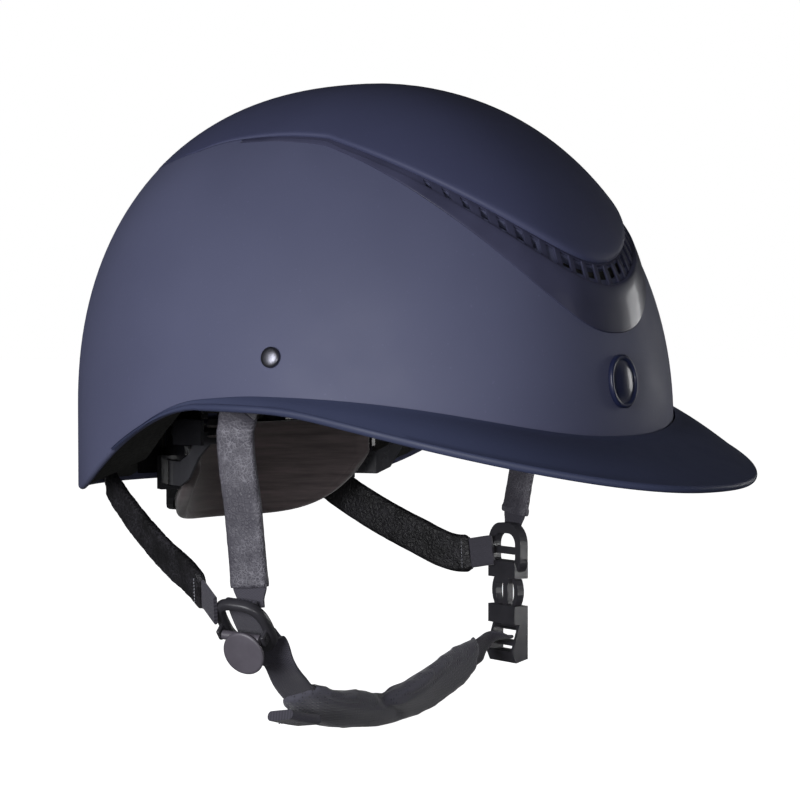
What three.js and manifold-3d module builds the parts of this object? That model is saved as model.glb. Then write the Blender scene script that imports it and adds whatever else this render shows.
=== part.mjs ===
// Equestrian riding helmet with adjustable nape cradle and three-point harness.
// Millimetres. +X is forward (the peak), +Y is the wearer's left, +Z is up.
// The origin is on the flat face of the crown pad, where the top of the head rests.
import * as THREE from 'three';
import { mergeVertices } from 'three/addons/utils/BufferGeometryUtils.js';
import Module from 'manifold-3d';

const wasm = await Module();
wasm.setup();

const DEG = Math.PI / 180;
const RIGHT = -1;
const LEFT = 1;
const GAP = 0.35; // clearance between pieces that touch on the real helmet

// ---- Driving dimensions ------------------------------------------------------------
const SHELL = {
  front: 120, // half length ahead of the ear line, at the equator
  rear: 134.5, // half length behind the ear line
  halfWidth: 105,
  egg: 0.134, // how much narrower the forehead is than the back
  rise: 135, // equator to the top of the shell
  apexShift: -13.7, // the top lies a little behind the ear line
  squareFront: 2.31, // superellipse exponents in plan
  squareRear: 2.15,
  domeFront: 2.07, // superellipse exponents in side view
  domeRear: 2.24,
  thick: 3,
};
const CROWN_STACK = 32; // crown rest face to the outside of the shell
const EQUATOR = CROWN_STACK - SHELL.rise;
const SIDE_RIM = -97.3; // lowest line of the shell over the ear
const NAPE_DROP = 35.5; // how far the nape hangs below that
const SHELL_STEPS = 48;
const STEP = 360 / SHELL_STEPS * DEG;

const BRIM = {
  bandHeight: 5.7, // the strip that runs along the side of the shell
  sideReach: 1.7, // how far that strip stands out
  peakReach: 42, // extra reach of the peak at the centre
  rise: 15.4, // how far the peak's root dips below the side strip
  slope: 0.237, // fall of the peak's edge per millimetre forward
  slopeStart: 40,
  lip: 1.5,
  endStep: 15, // the band fades out this many shell steps from the front
};
const LINER = { outer: 3.9, inner: 25, outerLift: 2, innerLift: 12 };
// Plan outlines of the crown panel and of the gloss trim around its nose.
const CROWN_PLAN = {
  x: 20, length: 89.5, half: 58, power: 2.2, flare: 0.2, tail: -40, rear: -95, rearPower: 0.8,
};
const CROWN_LIFT = { under: 1.15, back: 1.7, nose: 1.6 };
const TRIM_PLAN = { x: 20, length: 96.2, half: 59.8, power: 2.35 };
const TRIM_LIFT = { under: 0.6, top: 1.9 };
const SLOT = { count: 23, spread: 61 * DEG, wide: 3.2, short: 2.2, long: 6.2, inset: 1.4 };

const WEB = { wide: 15, thick: 1.5 };
const SLEEVE = { wide: 17, thick: 3.6 };
const TWIST = 15 * DEG; // harness hardware turns its front edge inwards

// The size-adjusting cradle lies on arcs about one upright axis.
const CRADLE = { x: -47, span: 76 * DEG, dialZ: -126 };
const LAYER = { // radii from the cradle axis, inner face first
  pad: [49.5, 56], frame: [56.6, 59.4], bandRight: [60, 61.2], bandLeft: [61.7, 62.9], housing: [63.5, 66],
};
const PINION = { radius: 4.4, teeth: 10 };

const DIVIDER = { x: 2.6, y: 86, z: -181, wide: 24, high: 28, thick: 4 };
// The divider leans: its lower edge points at the chin. Its width runs forwards.
const DIVIDER_ACROSS = new THREE.Vector3(0.96, 0.27, -0.08).normalize();
const DIVIDER_DOWN = new THREE.Vector3(-0.245, 0.66, -0.71);
const BUCKLE = { x: -5.5, y: 82, z: -188.5, wide: 20, thick: 7, ringUp: 25.5 };
const RIVET = { x: 28.8, z: -77, head: 4, shank: 1.8 };

// ---- Materials -----------------------------------------------------------------------
const paint = (color, roughness, metalness = 0) =>
  new THREE.MeshStandardMaterial({ color, roughness, metalness });
const navyMatte = paint(0x3a3f5a, 0.6);
const navyDark = paint(0x2b3048, 0.55);
const navyGloss = paint(0x1c2340, 0.12);
const foam = paint(0x26262a, 0.95);
const cloth = paint(0x2a2523, 0.95);
const leather = paint(0x3b3a42, 0.65);
const webbing = paint(0x35333b, 0.9);
const plastic = paint(0x1d1d20, 0.4);
const gunmetal = paint(0x50505a, 0.35, 0.9);
const steel = paint(0x8b8d92, 0.3, 1);

const part = new THREE.Group();
function add(name, geometry, material, parent = part) {
  const mesh = new THREE.Mesh(geometry, material);
  mesh.name = name;
  parent.add(mesh);
  return mesh;
}

// ---- Solid-building helpers --------------------------------------------------------------
const vec = (x, y, z) => new THREE.Vector3(x, y, z);
const clamp01 = (t) => Math.min(Math.max(t, 0), 1);
const smooth = (t) => clamp01(t) ** 2 * (3 - 2 * clamp01(t));
const flat = (value) => () => value;
const range = (count) => Array.from({ length: count }, (_, i) => i);
const centroid = (ring) =>
  ring.reduce((sum, p) => sum.add(p), vec(0, 0, 0)).divideScalar(ring.length);

function signedVolume(points, index) {
  let volume = 0;
  for (let i = 0; i < index.length; i += 3) {
    const [a, b, c] = [points[index[i]], points[index[i + 1]], points[index[i + 2]]];
    volume += a.dot(b.clone().cross(c)) / 6;
  }
  return volume;
}

// Joins rings of points into one closed surface. A ring of one point closes an end.
function loft(rings) {
  const points = rings.flat();
  const index = [];
  let base = 0;
  for (let r = 0; r + 1 < rings.length; r++) {
    const [near, far] = [rings[r].length, rings[r + 1].length];
    const next = base + near;
    const count = Math.max(near, far);
    for (let i = 0; i < count; i++) {
      const j = (i + 1) % count;
      if (near > 1) index.push(base + i, base + j, next + (far > 1 ? j : 0));
      if (far > 1) index.push(base + (near > 1 ? i : 0), next + j, next + i);
    }
    base = next;
  }
  if (signedVolume(points, index) < 0) {
    for (let i = 0; i < index.length; i += 3) [index[i], index[i + 1]] = [index[i + 1], index[i]];
  }
  const geometry = new THREE.BufferGeometry().setFromPoints(points);
  geometry.setIndex(index);
  geometry.computeVertexNormals();
  return geometry;
}
const loftCapped = (rings) => loft([[centroid(rings[0])], ...rings, [centroid(rings.at(-1))]]);

function toSolid(geometry) {
  const bare = geometry.clone();
  bare.deleteAttribute('normal');
  bare.deleteAttribute('uv');
  const merged = mergeVertices(bare);
  return new wasm.Manifold(new wasm.Mesh({
    numProp: 3,
    vertProperties: new Float32Array(merged.attributes.position.array),
    triVerts: new Uint32Array(merged.index.array),
  }));
}
function toGeometry(solid) {
  const mesh = solid.getMesh();
  const geometry = new THREE.BufferGeometry();
  geometry.setAttribute('position', new THREE.BufferAttribute(mesh.vertProperties, 3));
  geometry.setIndex(new THREE.BufferAttribute(mesh.triVerts, 1));
  geometry.computeVertexNormals();
  return geometry;
}
const cut = (geometry, ...tools) =>
  toGeometry(tools.reduce((solid, tool) => solid.subtract(toSolid(tool)), toSolid(geometry)));
const join = (geometry, ...more) =>
  toGeometry(more.reduce((solid, other) => solid.add(toSolid(other)), toSolid(geometry)));

const box = (x, y, z, at = vec(0, 0, 0)) =>
  new THREE.BoxGeometry(x, y, z).translate(at.x, at.y, at.z);
const boxBetween = (low, high) => {
  const size = high.clone().sub(low);
  return box(size.x, size.y, size.z, low.clone().add(high).multiplyScalar(0.5));
};
// A cylinder along Z.
const rod = (radius, length, at = vec(0, 0, 0), sides = 20) =>
  new THREE.CylinderGeometry(radius, radius, length, sides).rotateX(90 * DEG).translate(at.x, at.y, at.z);

// Places a geometry made about the origin so that its +Z points along a direction.
function aim(geometry, at, direction) {
  const turn = new THREE.Quaternion().setFromUnitVectors(vec(0, 0, 1), direction.clone().normalize());
  return geometry.applyQuaternion(turn).translate(at.x, at.y, at.z);
}
function aimFrame(geometry, at, x, y, z) {
  return geometry.applyMatrix4(new THREE.Matrix4().makeBasis(x, y, z).setPosition(at));
}

// Rounded rectangle outline centred on the origin.
function roundedRect(wide, high, radius) {
  const [x, y] = [wide / 2 - radius, high / 2 - radius];
  const shape = new THREE.Shape();
  shape.absarc(x, y, radius, 0, 90 * DEG);
  shape.absarc(-x, y, radius, 90 * DEG, 180 * DEG);
  shape.absarc(-x, -y, radius, 180 * DEG, 270 * DEG);
  shape.absarc(x, -y, radius, 270 * DEG, 360 * DEG);
  return shape;
}
// A plate whose outline lies in XZ and whose thickness is centred on Y.
const plateXZ = (shape, thick, curveSegments = 5) =>
  new THREE.ExtrudeGeometry(shape, { depth: thick, bevelEnabled: false, curveSegments })
    .translate(0, 0, -thick / 2).rotateX(90 * DEG);

// A flat strap: rectangular sections along a smooth path, widened along `across`.
// It covers the part of the path between the fractions `from` and `to`.
function ribbon(path, across, wide, thick, steps = 12, from = 0, to = 1) {
  const curve = new THREE.CatmullRomCurve3(path);
  const widths = Array.isArray(across) ? across : [across];
  const rings = range(steps + 1).map((i) => {
    const t = from + (to - from) * i / steps;
    const tangent = curve.getTangentAt(t);
    const spot = t * (widths.length - 1);
    const k = Math.min(Math.floor(spot), Math.max(widths.length - 2, 0));
    const mixed = widths.length > 1 ? widths[k].clone().lerp(widths[k + 1], spot - k) : widths[0].clone();
    const side = mixed.addScaledVector(tangent, -mixed.dot(tangent)).normalize();
    const normal = tangent.clone().cross(side);
    return [[-1, -1], [1, -1], [1, 1], [-1, 1]].map(([u, v]) =>
      curve.getPointAt(t).addScaledVector(side, u * wide / 2).addScaledVector(normal, v * thick / 2));
  });
  return loftCapped(rings);
}

// ---- The helmet's outer surface --------------------------------------------------------------
// Point on the shell at plan angle `theta`, at height z, moved inwards by `inset`.
function shellAt(theta, z, inset = 0) {
  const [c, s] = [Math.cos(theta), Math.sin(theta)];
  const ahead = c > 0;
  const h = clamp01((z - EQUATOR) / (SHELL.rise - inset));
  const dome = ahead ? SHELL.domeFront : SHELL.domeRear;
  const shrink = (1 - h ** dome) ** (1 / dome);
  const power = 2 / (ahead ? SHELL.squareFront : SHELL.squareRear);
  const shift = SHELL.apexShift * h;
  const reach = (ahead ? SHELL.front : SHELL.rear) - inset - shift * Math.sign(c);
  const half = (SHELL.halfWidth - inset) * (1 - SHELL.egg * c);
  const x = shift + reach * Math.sign(c) * Math.abs(c) ** power * shrink;
  const y = half * Math.sign(s) * Math.abs(s) ** power * shrink;
  return vec(x, y, z);
}
// Point on the shell, or on a surface inset from it, above the plan position (x, y).
function shellAbove(x, y, inset = 0) {
  let [low, high] = [0, 1];
  for (let i = 0; i < 40; i++) {
    const h = (low + high) / 2;
    const shift = SHELL.apexShift * h;
    const ahead = x > shift;
    const dome = ahead ? SHELL.domeFront : SHELL.domeRear;
    const power = ahead ? SHELL.squareFront : SHELL.squareRear;
    const shrink = (1 - h ** dome) ** (1 / dome);
    const reach = (ahead ? SHELL.front - inset - shift : SHELL.rear - inset + shift) * shrink;
    const c = (Math.abs(x - shift) / reach) ** (power / 2);
    const half = (SHELL.halfWidth - inset) * (1 - SHELL.egg * clamp01(c) * (ahead ? 1 : -1)) * shrink;
    if (c ** 2 + (Math.abs(y) / half) ** power > 1) high = h;
    else low = h;
  }
  return vec(x, y, EQUATOR + (SHELL.rise - inset) * low);
}
const SURFACE_CENTRE = vec(0, 0, EQUATOR);
// Outward normal of a two-parameter surface.
function normalOf(surface, u, v, du, dv) {
  const along = surface(u + du, v).sub(surface(u - du, v));
  const across = surface(u, v + dv).sub(surface(u, v - dv));
  const normal = along.cross(across).normalize();
  return normal.dot(surface(u, v).sub(SURFACE_CENTRE)) < 0 ? normal.negate() : normal;
}
const crownAt = (x, y, lift) =>
  shellAbove(x, y).addScaledVector(normalOf((a, b) => shellAbove(a, b), x, y, 0.3, 0.3), lift);
const wallNormal = (theta, z) => normalOf((a, b) => shellAt(a, b), theta, z, 0.01, 0.5);
const wallAt = (theta, z, lift) => shellAt(theta, z).addScaledVector(wallNormal(theta, z), lift);

// Lower edge of the shell: level over the ears, dipping at the brow and at the nape.
function browDrop(theta) {
  return BRIM.rise * Math.max(Math.cos(theta), 0) ** 2.85;
}
function rimZ(theta) {
  const turn = Math.abs(theta);
  return SIDE_RIM - browDrop(theta) - NAPE_DROP * smooth((turn - 90 * DEG) / (46 * DEG));
}

// A closed bowl between two insets. Its bottom runs from the outer rim to the inner rim.
function bowl(outer, inner, outerRim, innerRim, rings) {
  const ringAt = (inset, rim, k) => {
    const angle = 90 * DEG * (1 - k / rings);
    return range(SHELL_STEPS).map((i) => {
      const theta = i * STEP > Math.PI ? i * STEP - 2 * Math.PI : i * STEP;
      const top = EQUATOR + (SHELL.rise - inset) * Math.sin(angle);
      const bottom = rim(theta);
      // Rings slide down towards the rim in the lower third of the wall.
      const z = k === rings ? bottom : Math.max(top, bottom + 6 * (rings - k) / rings);
      return shellAt(theta, z, inset);
    });
  };
  const apex = (inset) => [vec(SHELL.apexShift, 0, EQUATOR + SHELL.rise - inset)];
  const down = range(rings).map((k) => ringAt(outer, outerRim, k + 1));
  const up = range(rings).map((k) => ringAt(inner, innerRim, rings - k));
  return loft([apex(outer), ...down, ...up, apex(inner)]);
}

// A plate lying on a surface: a disc of rings about a centre, between two lifts.
function plateOn(surface, centre, outline, rings, low, high) {
  const ring = (k, lift) => outline.map(([u, v]) => {
    const t = k / rings;
    return surface(centre[0] + (u - centre[0]) * t, centre[1] + (v - centre[1]) * t, lift(u, v));
  });
  const middle = (lift) => [surface(centre[0], centre[1], lift(centre[0], centre[1]))];
  const outwards = range(rings).map((k) => ring(k + 1, high));
  const inwards = range(rings).map((k) => ring(rings - k, low));
  return loft([middle(high), ...outwards, ...inwards, middle(low)]);
}

// ---- Outer casing -----------------------------------------------------------------------------
// Front outline of the crown panel and vent trim, `turn` = 0 at the nose.
function noseOutline(plan, turn) {
  const [c, s] = [Math.cos(turn), Math.sin(turn)];
  const power = 2 / plan.power;
  return [
    plan.x + plan.length * Math.abs(c) ** power,
    plan.half * Math.sign(s) * Math.abs(s) ** power,
  ];
}
// Vent slots: dark openings between the ribs under the front edge of the crown panel.
function ventSlots() {
  return range(SLOT.count).map((i) => {
    const turn = SLOT.spread * (2 * i / (SLOT.count - 1) - 1);
    const nose = Math.cos(turn / SLOT.spread * 80 * DEG); // slots grow towards the nose
    const [inner, outer] = [noseOutline(CROWN_PLAN, turn), noseOutline(TRIM_PLAN, turn)];
    const edge = crownAt(inner[0], inner[1], 0);
    const across = crownAt(outer[0], outer[1], 0).sub(edge).normalize();
    const normal = normalOf((a, b) => shellAbove(a, b), inner[0], inner[1], 0.3, 0.3);
    const along = across.clone().cross(normal).normalize();
    const long = SLOT.short + (SLOT.long - SLOT.short) * nose;
    const centre = edge.addScaledVector(across, SLOT.inset + long / 2);
    const wide = SLOT.wide * (0.62 + 0.38 * nose);
    return aimFrame(box(wide, long, 14), centre, along, normal.clone().cross(along), normal);
  });
}
// Three long openings in the shell behind the slots.
function airOpenings() {
  return [[-64, -27], [-20, 20], [27, 64]].map(([from, to]) => {
    const steps = 5;
    const rings = range(steps + 1).map((i) => {
      const turn = (from + (to - from) * i / steps) * DEG;
      const [inner, outer] = [noseOutline(CROWN_PLAN, turn), noseOutline(TRIM_PLAN, turn)];
      const edge = crownAt(...inner, 0);
      const across = crownAt(...outer, 0).sub(edge).normalize();
      const normal = normalOf((a, b) => shellAbove(a, b), ...inner, 0.3, 0.3);
      const reach = 3 + 3 * Math.cos(turn) ** 2;
      return [[1.5, -8], [reach, -8], [reach, 8], [1.5, 8]].map(([u, v]) =>
        edge.clone().addScaledVector(across, u).addScaledVector(normal, v));
    });
    return loftCapped(rings);
  });
}
function outerShell() {
  const rim = (theta) => rimZ(theta);
  const shell = bowl(0, SHELL.thick, rim, rim, 9);
  const holes = [RIGHT, LEFT].map((side) => rivetTool(side, RIVET.shank + 0.4, 20));
  return cut(shell, ...holes, ...airOpenings());
}
// One flank of the crown panel, widening from the end of the nose to the tail.
function flankPoint(t, side) {
  const widening = CROWN_PLAN.flare * (CROWN_PLAN.x - CROWN_PLAN.tail);
  return [
    CROWN_PLAN.x + (CROWN_PLAN.tail - CROWN_PLAN.x) * t,
    side * (CROWN_PLAN.half + widening * t),
  ];
}
function crownOutline() {
  const [noseSteps, flankSteps, rearSteps] = [20, 4, 12];
  const nose = range(noseSteps + 1).map((i) =>
    noseOutline(CROWN_PLAN, (i / noseSteps * 2 - 1) * 90 * DEG));
  const leftFlank = range(flankSteps).map((i) => flankPoint((i + 1) / flankSteps, LEFT));
  const rightFlank = range(flankSteps).map((i) => flankPoint(1 - i / flankSteps, RIGHT));
  const halfTail = leftFlank.at(-1)[1];
  const rear = range(rearSteps - 1).map((i) => {
    const turn = (i + 1) / rearSteps * 180 * DEG;
    const [c, s] = [Math.cos(turn), Math.sin(turn)];
    return [
      CROWN_PLAN.tail + (CROWN_PLAN.rear - CROWN_PLAN.tail) * s ** CROWN_PLAN.rearPower,
      halfTail * Math.sign(c) * Math.abs(c) ** CROWN_PLAN.rearPower,
    ];
  });
  return [...nose, ...leftFlank, ...rear, ...rightFlank];
}
function crownPanel() {
  // Proud at the nose, thin at the back.
  const lift = (x) => CROWN_LIFT.back + CROWN_LIFT.nose * smooth((x + 20) / 70);
  return plateOn(crownAt, [10, 0], crownOutline(), 6, flat(CROWN_LIFT.under), lift);
}
function ventTrim() {
  const [steps, columns] = [32, 2];
  const inside = { ...CROWN_PLAN, length: CROWN_PLAN.length + 0.8, half: CROWN_PLAN.half + 0.6 };
  const point = (turn, t, lift) => {
    const [inner, outer] = [noseOutline(inside, turn), noseOutline(TRIM_PLAN, turn)];
    return crownAt(inner[0] + (outer[0] - inner[0]) * t, inner[1] + (outer[1] - inner[1]) * t, lift);
  };
  const rings = range(steps + 1).map((i) => {
    const turn = (i / steps * 2 - 1) * 90 * DEG;
    const top = range(columns + 1).map((k) => point(turn, k / columns, TRIM_LIFT.top));
    const under = range(columns + 1).map((k) => point(turn, 1 - k / columns, TRIM_LIFT.under));
    return [...top, ...under];
  });
  return cut(loftCapped(rings), ...ventSlots());
}
// Cross-section of the brim at plan angle `theta`: root, rising top, rolled lip, underside.
function brimSection(theta) {
  const front = Math.max(Math.cos(theta), 0);
  const turn = Math.abs(theta);
  const fade = 1 - smooth((turn / STEP - BRIM.endStep + 3) / 3.2);
  const rim = rimZ(theta);
  const root = rim + Math.max(BRIM.bandHeight * fade, 0.9);
  const out = vec(Math.cos(theta), 0.19 * Math.sin(theta), 0).normalize();
  if (turn > 85 * DEG) out.copy(wallNormal(theta, EQUATOR)).setZ(0).normalize();
  const reach = Math.max(BRIM.sideReach * fade, 0.5) + BRIM.peakReach * front ** 1.667;
  const edge = shellAt(theta, EQUATOR).addScaledVector(out, reach);
  const ahead = edge.x - BRIM.slopeStart;
  const fall = BRIM.slope * (ahead + Math.hypot(ahead, 15)) / 2;
  edge.z = front > 0 ? Math.min(SIDE_RIM - fall, rim) : rim;
  const lip = Math.min(BRIM.lip, (root - rim) / 3);
  edge.z += lip;
  const wall = (z) =>
    shellAt(theta, z).addScaledVector(wallNormal(theta, z).setZ(0).normalize(), GAP + 0.1);
  const rootTop = wall(root);
  const rootLow = wall(rim);
  const middle = (a, b, t, bulge) => a.clone().lerp(b, t).add(vec(0, 0, bulge * front));
  const lipTop = edge.clone().add(vec(0, 0, lip));
  const lipLow = edge.clone().add(vec(0, 0, -lip));
  return [
    rootTop, middle(rootTop, lipTop, 0.35, 0.6), middle(rootTop, lipTop, 0.7, 1.1), lipTop,
    edge.clone().addScaledVector(out, lip * 0.8),
    lipLow, middle(lipLow, rootLow, 0.3, 0.9), middle(lipLow, rootLow, 0.65, 0.6), rootLow,
  ];
}
const brim = () =>
  loftCapped(range(2 * BRIM.endStep + 1).map((i) => brimSection((i - BRIM.endStep) * STEP)));

// A plain oval badge standing on the brow.
const BADGE = { z: -86.5, halfWide: 6.5, halfHigh: 10, low: 0.5, high: 2, points: 24 };
function frontEmblem() {
  const surface = (y, z, lift) => wallAt(y / SHELL.front, z, lift);
  const outline = range(BADGE.points).map((i) => {
    const turn = i / BADGE.points * 2 * Math.PI;
    return [BADGE.halfWide * Math.cos(turn), BADGE.z + BADGE.halfHigh * Math.sin(turn)];
  });
  return plateOn(surface, [0, BADGE.z], outline, 2, flat(BADGE.low), flat(BADGE.high));
}

// ---- Rivets through the side of the shell ------------------------------------------------------
function rivetPlace(side) {
  let theta = side * 75 * DEG;
  for (let i = 0; i < 30; i++) theta -= side * (RIVET.x - shellAt(theta, RIVET.z).x) / SHELL.halfWidth;
  return { at: shellAt(theta, RIVET.z), normal: wallNormal(theta, RIVET.z) };
}
function rivetTool(side, radius, length) {
  const { at, normal } = rivetPlace(side);
  return aim(rod(radius, length), at, normal);
}
const RIVET_STACK = { washer: -8.2, tail: -10.2 };
function sideRivet(side) {
  const { at, normal } = rivetPlace(side);
  const dome = range(5).map((i) => {
    const a = i / 4 * 90 * DEG;
    return new THREE.Vector2(RIVET.head * Math.cos(a), 0.9 + 1.3 * Math.sin(a));
  });
  dome[4].x = 0;
  const profile = [
    [0, RIVET_STACK.tail], [2.9, RIVET_STACK.tail], [2.9, RIVET_STACK.tail + 1],
    [RIVET.shank, RIVET_STACK.tail + 1], [RIVET.shank, 0.3], [RIVET.head, 0.3],
  ].map(([r, z]) => new THREE.Vector2(r, z));
  return aim(new THREE.LatheGeometry([...profile, ...dome], 14).rotateX(90 * DEG), at, normal);
}
function rivetWasher(side) {
  const { at, normal } = rivetPlace(side);
  const middle = vec(0, 0, RIVET_STACK.washer);
  const washer = cut(rod(7, 1.2, middle, 18), rod(RIVET.shank + 0.3, 4, middle, 18));
  return aim(washer, at, normal);
}

// ---- Foam liner and comfort pads -----------------------------------------------------------------
// Recesses moulded into the foam, as low and high corners on the left side.
const POCKETS = [
  { low: [-140, -27, -160], high: [-95, 27, -104] }, // room for the dial
  { low: [-14, 87, -130], high: [42, 120, -64], paired: true }, // behind the rivet and front strap
  { low: [-117, 47, -140], high: [-78, 72, -104], paired: true }, // rear strap's anchor
  { low: [-108, 29, -140], high: [-90, 47.5, -93], paired: true }, // cradle's hanger
];
function epsLiner() {
  const outerRim = (theta) => rimZ(theta) + LINER.outerLift;
  const innerRim = (theta) => rimZ(theta) + LINER.innerLift;
  const liner = bowl(LINER.outer, LINER.inner, outerRim, innerRim, 7);
  const pockets = POCKETS.flatMap(({ low, high, paired }) =>
    (paired ? [RIGHT, LEFT] : [LEFT]).map((side) => boxBetween(
      vec(low[0], Math.min(side * low[1], side * high[1]), low[2]),
      vec(high[0], Math.max(side * low[1], side * high[1]), high[2]))));
  return cut(liner, ...pockets);
}
const CROWN_PAD = { x: -5, radius: 24, edge: 0.8 };
function crownPad() {
  const ring = (radius, height) => range(24).map((i) => {
    const turn = i / 24 * 2 * Math.PI;
    const [x, y] = [CROWN_PAD.x + radius * Math.cos(turn), radius * Math.sin(turn)];
    return vec(x, y, height(x, y));
  });
  const roof = (x, y) => shellAbove(x, y, LINER.inner + 1.8).z;
  const edge = (x, y) => roof(x, y) - CROWN_PAD.edge;
  const { radius } = CROWN_PAD;
  return loft([
    [vec(CROWN_PAD.x, 0, roof(CROWN_PAD.x, 0))], ring(radius / 2, roof), ring(radius - 3, roof),
    ring(radius, edge), ring(radius - 1, flat(0)), [vec(CROWN_PAD.x, 0, 0)],
  ]);
}
function headbandPad() {
  const count = 28;
  const reach = 105 * DEG;
  const rings = range(count + 1).map((i) => {
    const theta = (i / count * 2 - 1) * reach;
    const low = Math.max(rimZ(theta) + LINER.innerLift, -99) + 4;
    const high = low + 32;
    const wall = (z, inset) => shellAt(theta, z, inset);
    return [
      wall(low, LINER.inner + 2), wall(low + 12, LINER.inner + 2),
      wall(high, LINER.inner + 2.4), wall(high - 2, LINER.inner + 4.5),
      wall(low + 14, LINER.inner + 6.5), wall(low + 3, LINER.inner + 5.5),
    ];
  });
  return loftCapped(rings);
}

// ---- Nape cradle and size dial ------------------------------------------------------------------
// Point on the cradle's arcs: `turn` is measured from straight back, positive to the left.
const arcAt = (radius, turn, z) => vec(CRADLE.x - radius * Math.cos(turn), radius * Math.sin(turn), z);
function arcBlock([inner, outer], low, high, from, to, steps) {
  const rings = range(steps + 1).map((i) => {
    const turn = from + (to - from) * i / steps;
    const [z0, z1] = [low(turn), high(turn)];
    return [arcAt(inner, turn, z0), arcAt(outer, turn, z0), arcAt(outer, turn, z1), arcAt(inner, turn, z1)];
  });
  return loftCapped(rings);
}
const napeLow = (turn) => -146 + 26 * (Math.abs(turn) / CRADLE.span) ** 4;
const napeHigh = (turn) => {
  const t = Math.abs(turn) / CRADLE.span;
  return -108 + 3 * t ** 2 - 8 * smooth((t - 0.86) / 0.14); // the far corners are rounded off
};
const GUIDE = { y: 38, rail: 4, z: -102.5, from: -105, to: -70, hanger: 3 };
const EAR_TURN = Math.asin(GUIDE.y / LAYER.frame[0]);
const KEEPER = { turn: 62 * DEG, half: 3 * DEG, outer: 64.6 }; // loops that hold the size bands
// Ears hang the frame on the guide rails.
function cradleFrame() {
  const inset = 1.5;
  const [low, high] = [(turn) => napeLow(turn) + inset, (turn) => napeHigh(turn) - inset];
  const body = arcBlock(LAYER.frame, low, high, -CRADLE.span, CRADLE.span, 22);
  const ears = [RIGHT, LEFT].map((side) => {
    const centre = side * EAR_TURN;
    const ear = arcBlock(LAYER.frame, flat(-113), flat(GUIDE.z + 5), centre - 6 * DEG, centre + 6 * DEG, 3);
    const hole = GUIDE.rail + 2 * GAP;
    return cut(ear, box(20, hole, hole, vec(arcAt(LAYER.frame[0], centre, 0).x, side * GUIDE.y, GUIDE.z)));
  });
  const keepers = [RIGHT, LEFT].map((side) => {
    const centre = side * KEEPER.turn;
    const [from, to] = [centre - KEEPER.half, centre + KEEPER.half];
    const between = (radii, half, over, steps) => arcBlock(
      radii, flat(CRADLE.dialZ - half), flat(CRADLE.dialZ + half), from - over, to + over, steps);
    const band = side === RIGHT ? LAYER.bandRight : LAYER.bandLeft;
    const slot = between([band[0] - 0.4, band[1] + 0.4], BAND.high / 2 + 0.4, 0.1, 6);
    return cut(between([LAYER.frame[0], KEEPER.outer], 7, 0, 2), slot);
  });
  const axleHole = aim(rod(3, 20), arcAt(LAYER.frame[0], 0, CRADLE.dialZ), vec(1, 0, 0));
  return cut(join(body, ...ears, ...keepers), axleHole);
}
function napePad() {
  const steps = 26;
  const [inner, outer] = LAYER.pad;
  const rings = range(steps + 1).map((i) => {
    const turn = (i / steps * 2 - 1) * CRADLE.span;
    const [low, high] = [napeLow(turn), napeHigh(turn)];
    const soft = (outer - inner) / 3;
    return [
      arcAt(outer, turn, low + 1), arcAt(outer, turn, high - 1), arcAt(outer - soft, turn, high),
      arcAt(inner, turn, high - 3.5), arcAt(inner, turn, low + 3.5), arcAt(outer - soft, turn, low),
    ];
  });
  return loftCapped(rings);
}
// The front end of each size band rises from the dial's height to its anchor stud.
const BAND = { high: 10, rackHigh: 16, window: 10, climbFrom: 77 * DEG, end: 100 * DEG, anchorZ: -108 };
function sizeBand(side) {
  const radii = side === RIGHT ? LAYER.bandRight : LAYER.bandLeft;
  const climb = (turn) =>
    (BAND.anchorZ - CRADLE.dialZ) * smooth((Math.abs(turn) - BAND.climbFrom) / (17 * DEG));
  const half = (turn) => (side * turn < 24 * DEG ? BAND.rackHigh : BAND.high) / 2;
  const low = (turn) => CRADLE.dialZ + climb(turn) - half(turn);
  const high = (turn) => CRADLE.dialZ + climb(turn) + half(turn);
  const strip = arcBlock(radii, low, high, -side * 11 * DEG, side * BAND.end, 18);
  const [below, above] = [flat(CRADLE.dialZ - BAND.window / 2), flat(CRADLE.dialZ + BAND.window / 2)];
  const window = arcBlock([radii[0] - 1, radii[1] + 1], below, above, -side * 7 * DEG, side * 18 * DEG, 6);
  const studAt = arcAt((radii[0] + radii[1]) / 2, side * 95 * DEG, BAND.anchorZ);
  const studHole = box(6, 12, 5, studAt);
  const pitch = 2 * Math.PI * PINION.radius / PINION.teeth / radii[0];
  const teeth = range(6).map((i) => {
    const turn = side * (-5.5 * DEG + i * pitch);
    const root = CRADLE.dialZ - side * BAND.window / 2;
    const tip = root + side * 1;
    const [z0, z1] = [Math.min(root - side * 0.6, tip), Math.max(root - side * 0.6, tip)];
    return arcBlock(radii, flat(z0), flat(z1), turn - pitch / 5, turn + pitch / 5, 1);
  });
  return join(cut(strip, window, studHole), ...teeth);
}
function bandAnchor(side) {
  const radius = (LAYER.bandRight[0] + LAYER.bandLeft[1]) / 2;
  const at = arcAt(radius, side * 95 * DEG, BAND.anchorZ);
  const plateY = side * 74.2;
  const pin = aim(rod(1.6, 19, vec(0, 0, 0), 12), vec(at.x, side * 65.5, at.z), vec(0, 1, 0));
  return join(pin, box(16, 2, 10, vec(at.x, plateY, at.z)));
}
function cradleGuide(side) {
  const length = GUIDE.to - GUIDE.from;
  const rail = box(length, GUIDE.rail, GUIDE.rail, vec(GUIDE.from + length / 2, side * GUIDE.y, GUIDE.z));
  const hanger = box(GUIDE.hanger, 11, 33, vec(GUIDE.from + GUIDE.hanger / 2, side * GUIDE.y, GUIDE.z - 9));
  return join(rail, hanger);
}
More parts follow.
